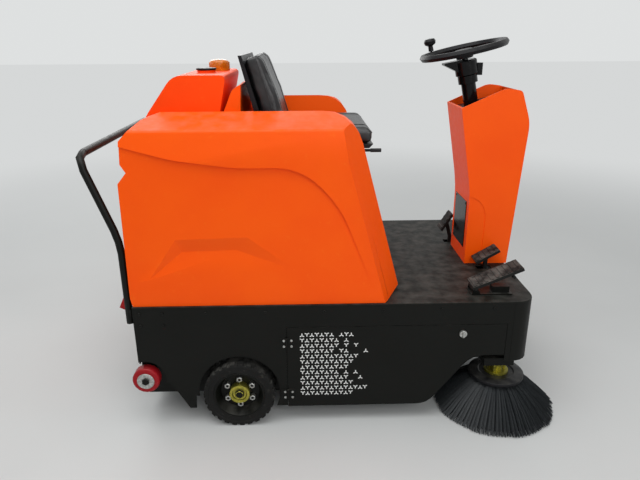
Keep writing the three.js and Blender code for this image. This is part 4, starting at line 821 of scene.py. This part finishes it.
back_low, back_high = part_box("seat_back")
BACK_LEAN = math.atan(0.2847)
back = foam_block("back", (0.054, 0.436, 0.296), 0.013)
for point in back.data.vertices:
    front_share = max(0.0, point.co.x + 0.027) / 0.054
    thinner = 0.014 * max(0.0, point.co.z / 0.148)
    wrap = 0.008 * (point.co.y / 0.218) ** 2
    point.co.x += front_share * (wrap - thinner)
inflate(back, 4.0, 0.008)
back_cords = [
    piping(back, (1, 0, 0), 0.0085, 0.0125, 0.0022),
    piping(back, (0, 1, 0), -0.148, -0.145, 0.0016),
    piping(back, (0, 1, 0), 0.145, 0.148, 0.0016),
]
back = join_all([back, *back_cords])
back.rotation_euler = (0, -BACK_LEAN, 0)
back.location = (-0.2305, (back_low[1] + back_high[1]) / 2, 1.1135)
settle(back)
dress(back, "seat_back_cover", vinyl, "seat", ("seat_back",))


# ---------------------------------------------------------------- beacon
# Amber polycarbonate dome with moulded upright ribs, screwed on the tank.
amber, tree = new_material("amber")
amber_place = add_node(tree, "TexCoord").outputs["Object"]
amber_depth = add_node(tree, "TexNoise", {"Vector": amber_place, "Scale": 45.0, "Detail": 2.0})
amber_tint = add_node(tree, "ValToRGB", {"Fac": amber_depth.outputs["Fac"]})
amber_tint.color_ramp.elements[0].color = srgb("#C95F08")
amber_tint.color_ramp.elements[1].color = srgb("#F59A26")
set_surface(tree, add_node(tree, "BsdfPrincipled", {
    "Base Color": amber_tint.outputs["Color"],
    "Roughness": 0.16,
    "Transmission Weight": 0.35,
    "IOR": 1.5,
}))
beacon_low, beacon_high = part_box("beacon")
beacon_centre = [(a + b) / 2 for a, b in zip(beacon_low, beacon_high)]
bpy.ops.object.select_all(action="DESELECT")
bpy.ops.mesh.primitive_cylinder_add(
    vertices=64, radius=0.037, depth=0.030,
    location=(beacon_centre[0], beacon_centre[1], beacon_low[2] + 0.015),
)
lens = bpy.context.object
settle(lens)
pick_faces(lens, lambda face: face.normal.z > 0.9)
bpy.ops.mesh.inset(thickness=0.003, depth=0.0045)
bpy.ops.mesh.inset(thickness=0.010, depth=0.0040)
bpy.ops.mesh.inset(thickness=0.012, depth=0.0016)
bpy.ops.object.mode_set(mode="OBJECT")
pick_faces(lens, lambda face: (
    abs(face.normal.z) < 0.1
    and math.floor((math.atan2(face.normal.y, face.normal.x) / math.pi + 1) * 32) % 2 == 0
))
bpy.ops.mesh.inset(thickness=0.0006, depth=0.0022, use_individual=True)
bpy.ops.object.mode_set(mode="OBJECT")
bevel_and_smooth(lens, 0.5)
dress(lens, "beacon_lens", amber, "chassis", ("beacon",))


# ---------------------------------------------------------------- hopper latch grip
# A red moulded sleeve pushed over the end of the latch's lever.
red_plastic = satin_skin("red_plastic", "#C0181C", "#A81216", "#D8484A", 0.38, 1.4, 0.04, 0.08)
GRIP_SIZE = (0.021, 0.030, 0.054)
GRIP_PLACE = (-0.7573, -0.240, 0.4105)
GRIP_LEAN = math.radians(25.6)


# True for the faces pressed in across the grip's rear, clear of its edges.
def between_edges(face):
    return face.normal.x < -0.9 and abs(face.center.y) < 0.012 and abs(face.center.z) < 0.022


bpy.ops.object.select_all(action="DESELECT")
bpy.ops.mesh.primitive_cube_add(size=1)
grip = bpy.context.object
grip.scale = GRIP_SIZE
settle(grip)
pick_faces(grip, lambda face: face.normal.x < -0.9)
bpy.ops.mesh.subdivide(number_cuts=3)
bpy.ops.object.mode_set(mode="OBJECT")
pick_faces(grip, between_edges)
bpy.ops.mesh.inset(thickness=0.0015, depth=-0.0015, use_individual=True)
bpy.ops.object.mode_set(mode="OBJECT")
grip.rotation_euler = (0, GRIP_LEAN, 0)
grip.location = GRIP_PLACE
settle(grip)
bevel_and_smooth(grip, 3.0, 3)
dress(grip, "latch_grip", red_plastic, "latch")


# ---------------------------------------------------------------- panel bolts
# Low button-head bolts that hold the side sheets to the frame.
def sheet_bolts(name, side_y, way, spots, body):
    heads = [bolt_head((x, side_y, z), (0, way, 0), 0.0052, 0.0028, 12) for x, z in spots]
    heads = join_all(heads)
    bevel_and_smooth(heads, 0.4)
    dress(heads, name, coat_black, body)


REAR_SPOTS = ((-0.662, 0.437), (-0.585, 0.437), (-0.662, 0.392), (-0.585, 0.392))
EDGE_SPOTS = tuple((x, 0.437) for x in (-0.44, -0.24, -0.04, 0.16, 0.36, 0.54))
right_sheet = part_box("right_side_panel")[0][1]
left_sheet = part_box("left_side_panel")[1][1]
sheet_bolts("right_sheet_bolts", right_sheet, -1, REAR_SPOTS + EDGE_SPOTS, "chassis")
sheet_bolts("left_sheet_bolts", left_sheet, 1, REAR_SPOTS + EDGE_SPOTS, "chassis")


# Two bright screws in each leaf of both door hinges. Those of the moving leaf
# swing with the door.
for name in ("upper_door_hinge", "lower_door_hinge"):
    hinge_low, hinge_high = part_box(name)
    pin_x = hinge_high[0]
    middle_z = (hinge_low[2] + hinge_high[2]) / 2
    for label, reach, rider in (("fixed", -0.014, "chassis"), ("moving", 0.012, "door")):
        spots = [(pin_x + reach, middle_z + way * 0.011) for way in (-1, 1)]
        screws = [bolt_head((x, right_sheet - 0.0028, z), (0, -1, 0), 0.0044, 0.0022, 12) for x, z in spots]
        screws = join_all(screws)
        bevel_and_smooth(screws, 0.3)
        dress(screws, f"{name}_{label}_screws", bright_zinc, rider)


# ---------------------------------------------------------------- door pattern
# Cut white film on the door: small plain three-armed marks in rows, close
# together at the hinge edge and thinning out towards the front.
white_film, tree = new_material("white_film")
film_place = add_node(tree, "TexCoord").outputs["Object"]
film_noise = add_node(tree, "TexNoise", {"Vector": film_place, "Scale": 300.0, "Detail": 3.0})
film_tint = add_node(tree, "ValToRGB", {"Fac": film_noise.outputs["Fac"]})
film_tint.color_ramp.elements[0].color = srgb("#D6D7D5")
film_tint.color_ramp.elements[1].color = srgb("#F0F0EE")
set_surface(tree, add_node(tree, "BsdfPrincipled", {
    "Base Color": film_tint.outputs["Color"],
    "Roughness": 0.45,
}))
MARK_ARM = 0.0076
MARK_WIDE = 0.0034
MARK_STEP = 0.0212
MARK_ROWS = 12
MARK_COLUMNS = 17
PATTERN_REAR = -0.118
PATTERN_TOP = 0.346
film_y = right_sheet - 0.0004


def three_armed_mark():
    arms = []
    for i in range(3):
        bpy.ops.object.select_all(action="DESELECT")
        bpy.ops.mesh.primitive_plane_add(size=1)
        arm = bpy.context.object
        arm.scale = (MARK_WIDE, MARK_ARM, 1)
        settle(arm)
        arm.data.transform(Matrix.Translation((0, MARK_ARM / 2 + 0.0008, 0)))
        arm.data.transform(Matrix.Rotation(i * 2 * math.pi / 3, 4, "Z"))
        arms.append(arm)
    mark = join_all(arms)
    mark.data.transform(Matrix.Rotation(math.pi / 2, 4, "X"))
    return mark


mark = three_armed_mark()
marks = []
for row in range(MARK_ROWS):
    for column in range(MARK_COLUMNS):
        share = max(0.0, (column - 6) / 11)
        odd = (row * 7 + column * 5 + row * column * 3) % 17
        if odd < 17 * share * 1.3:
            continue
        copy = mark.copy()
        copy.data = mark.data.copy()
        scene.collection.objects.link(copy)
        upside_down = (row + column) % 2
        x = PATTERN_REAR + column * MARK_STEP * 0.80
        z = PATTERN_TOP - row * MARK_STEP + (0.0050 if upside_down else 0.0)
        copy.data.transform(Matrix.Rotation(math.pi * upside_down, 4, "Y"))
        copy.data.transform(Matrix.Translation((x, film_y, z)))
        marks.append(copy)
bpy.data.objects.remove(mark)
marks = join_all(marks)
film = marks.modifiers.new("film", "SOLIDIFY")
film.thickness = 0.0003
film.offset = -1
bpy.context.view_layer.objects.active = marks
bpy.ops.object.modifier_apply(modifier="film")
dress(marks, "door_marks", white_film, "door")
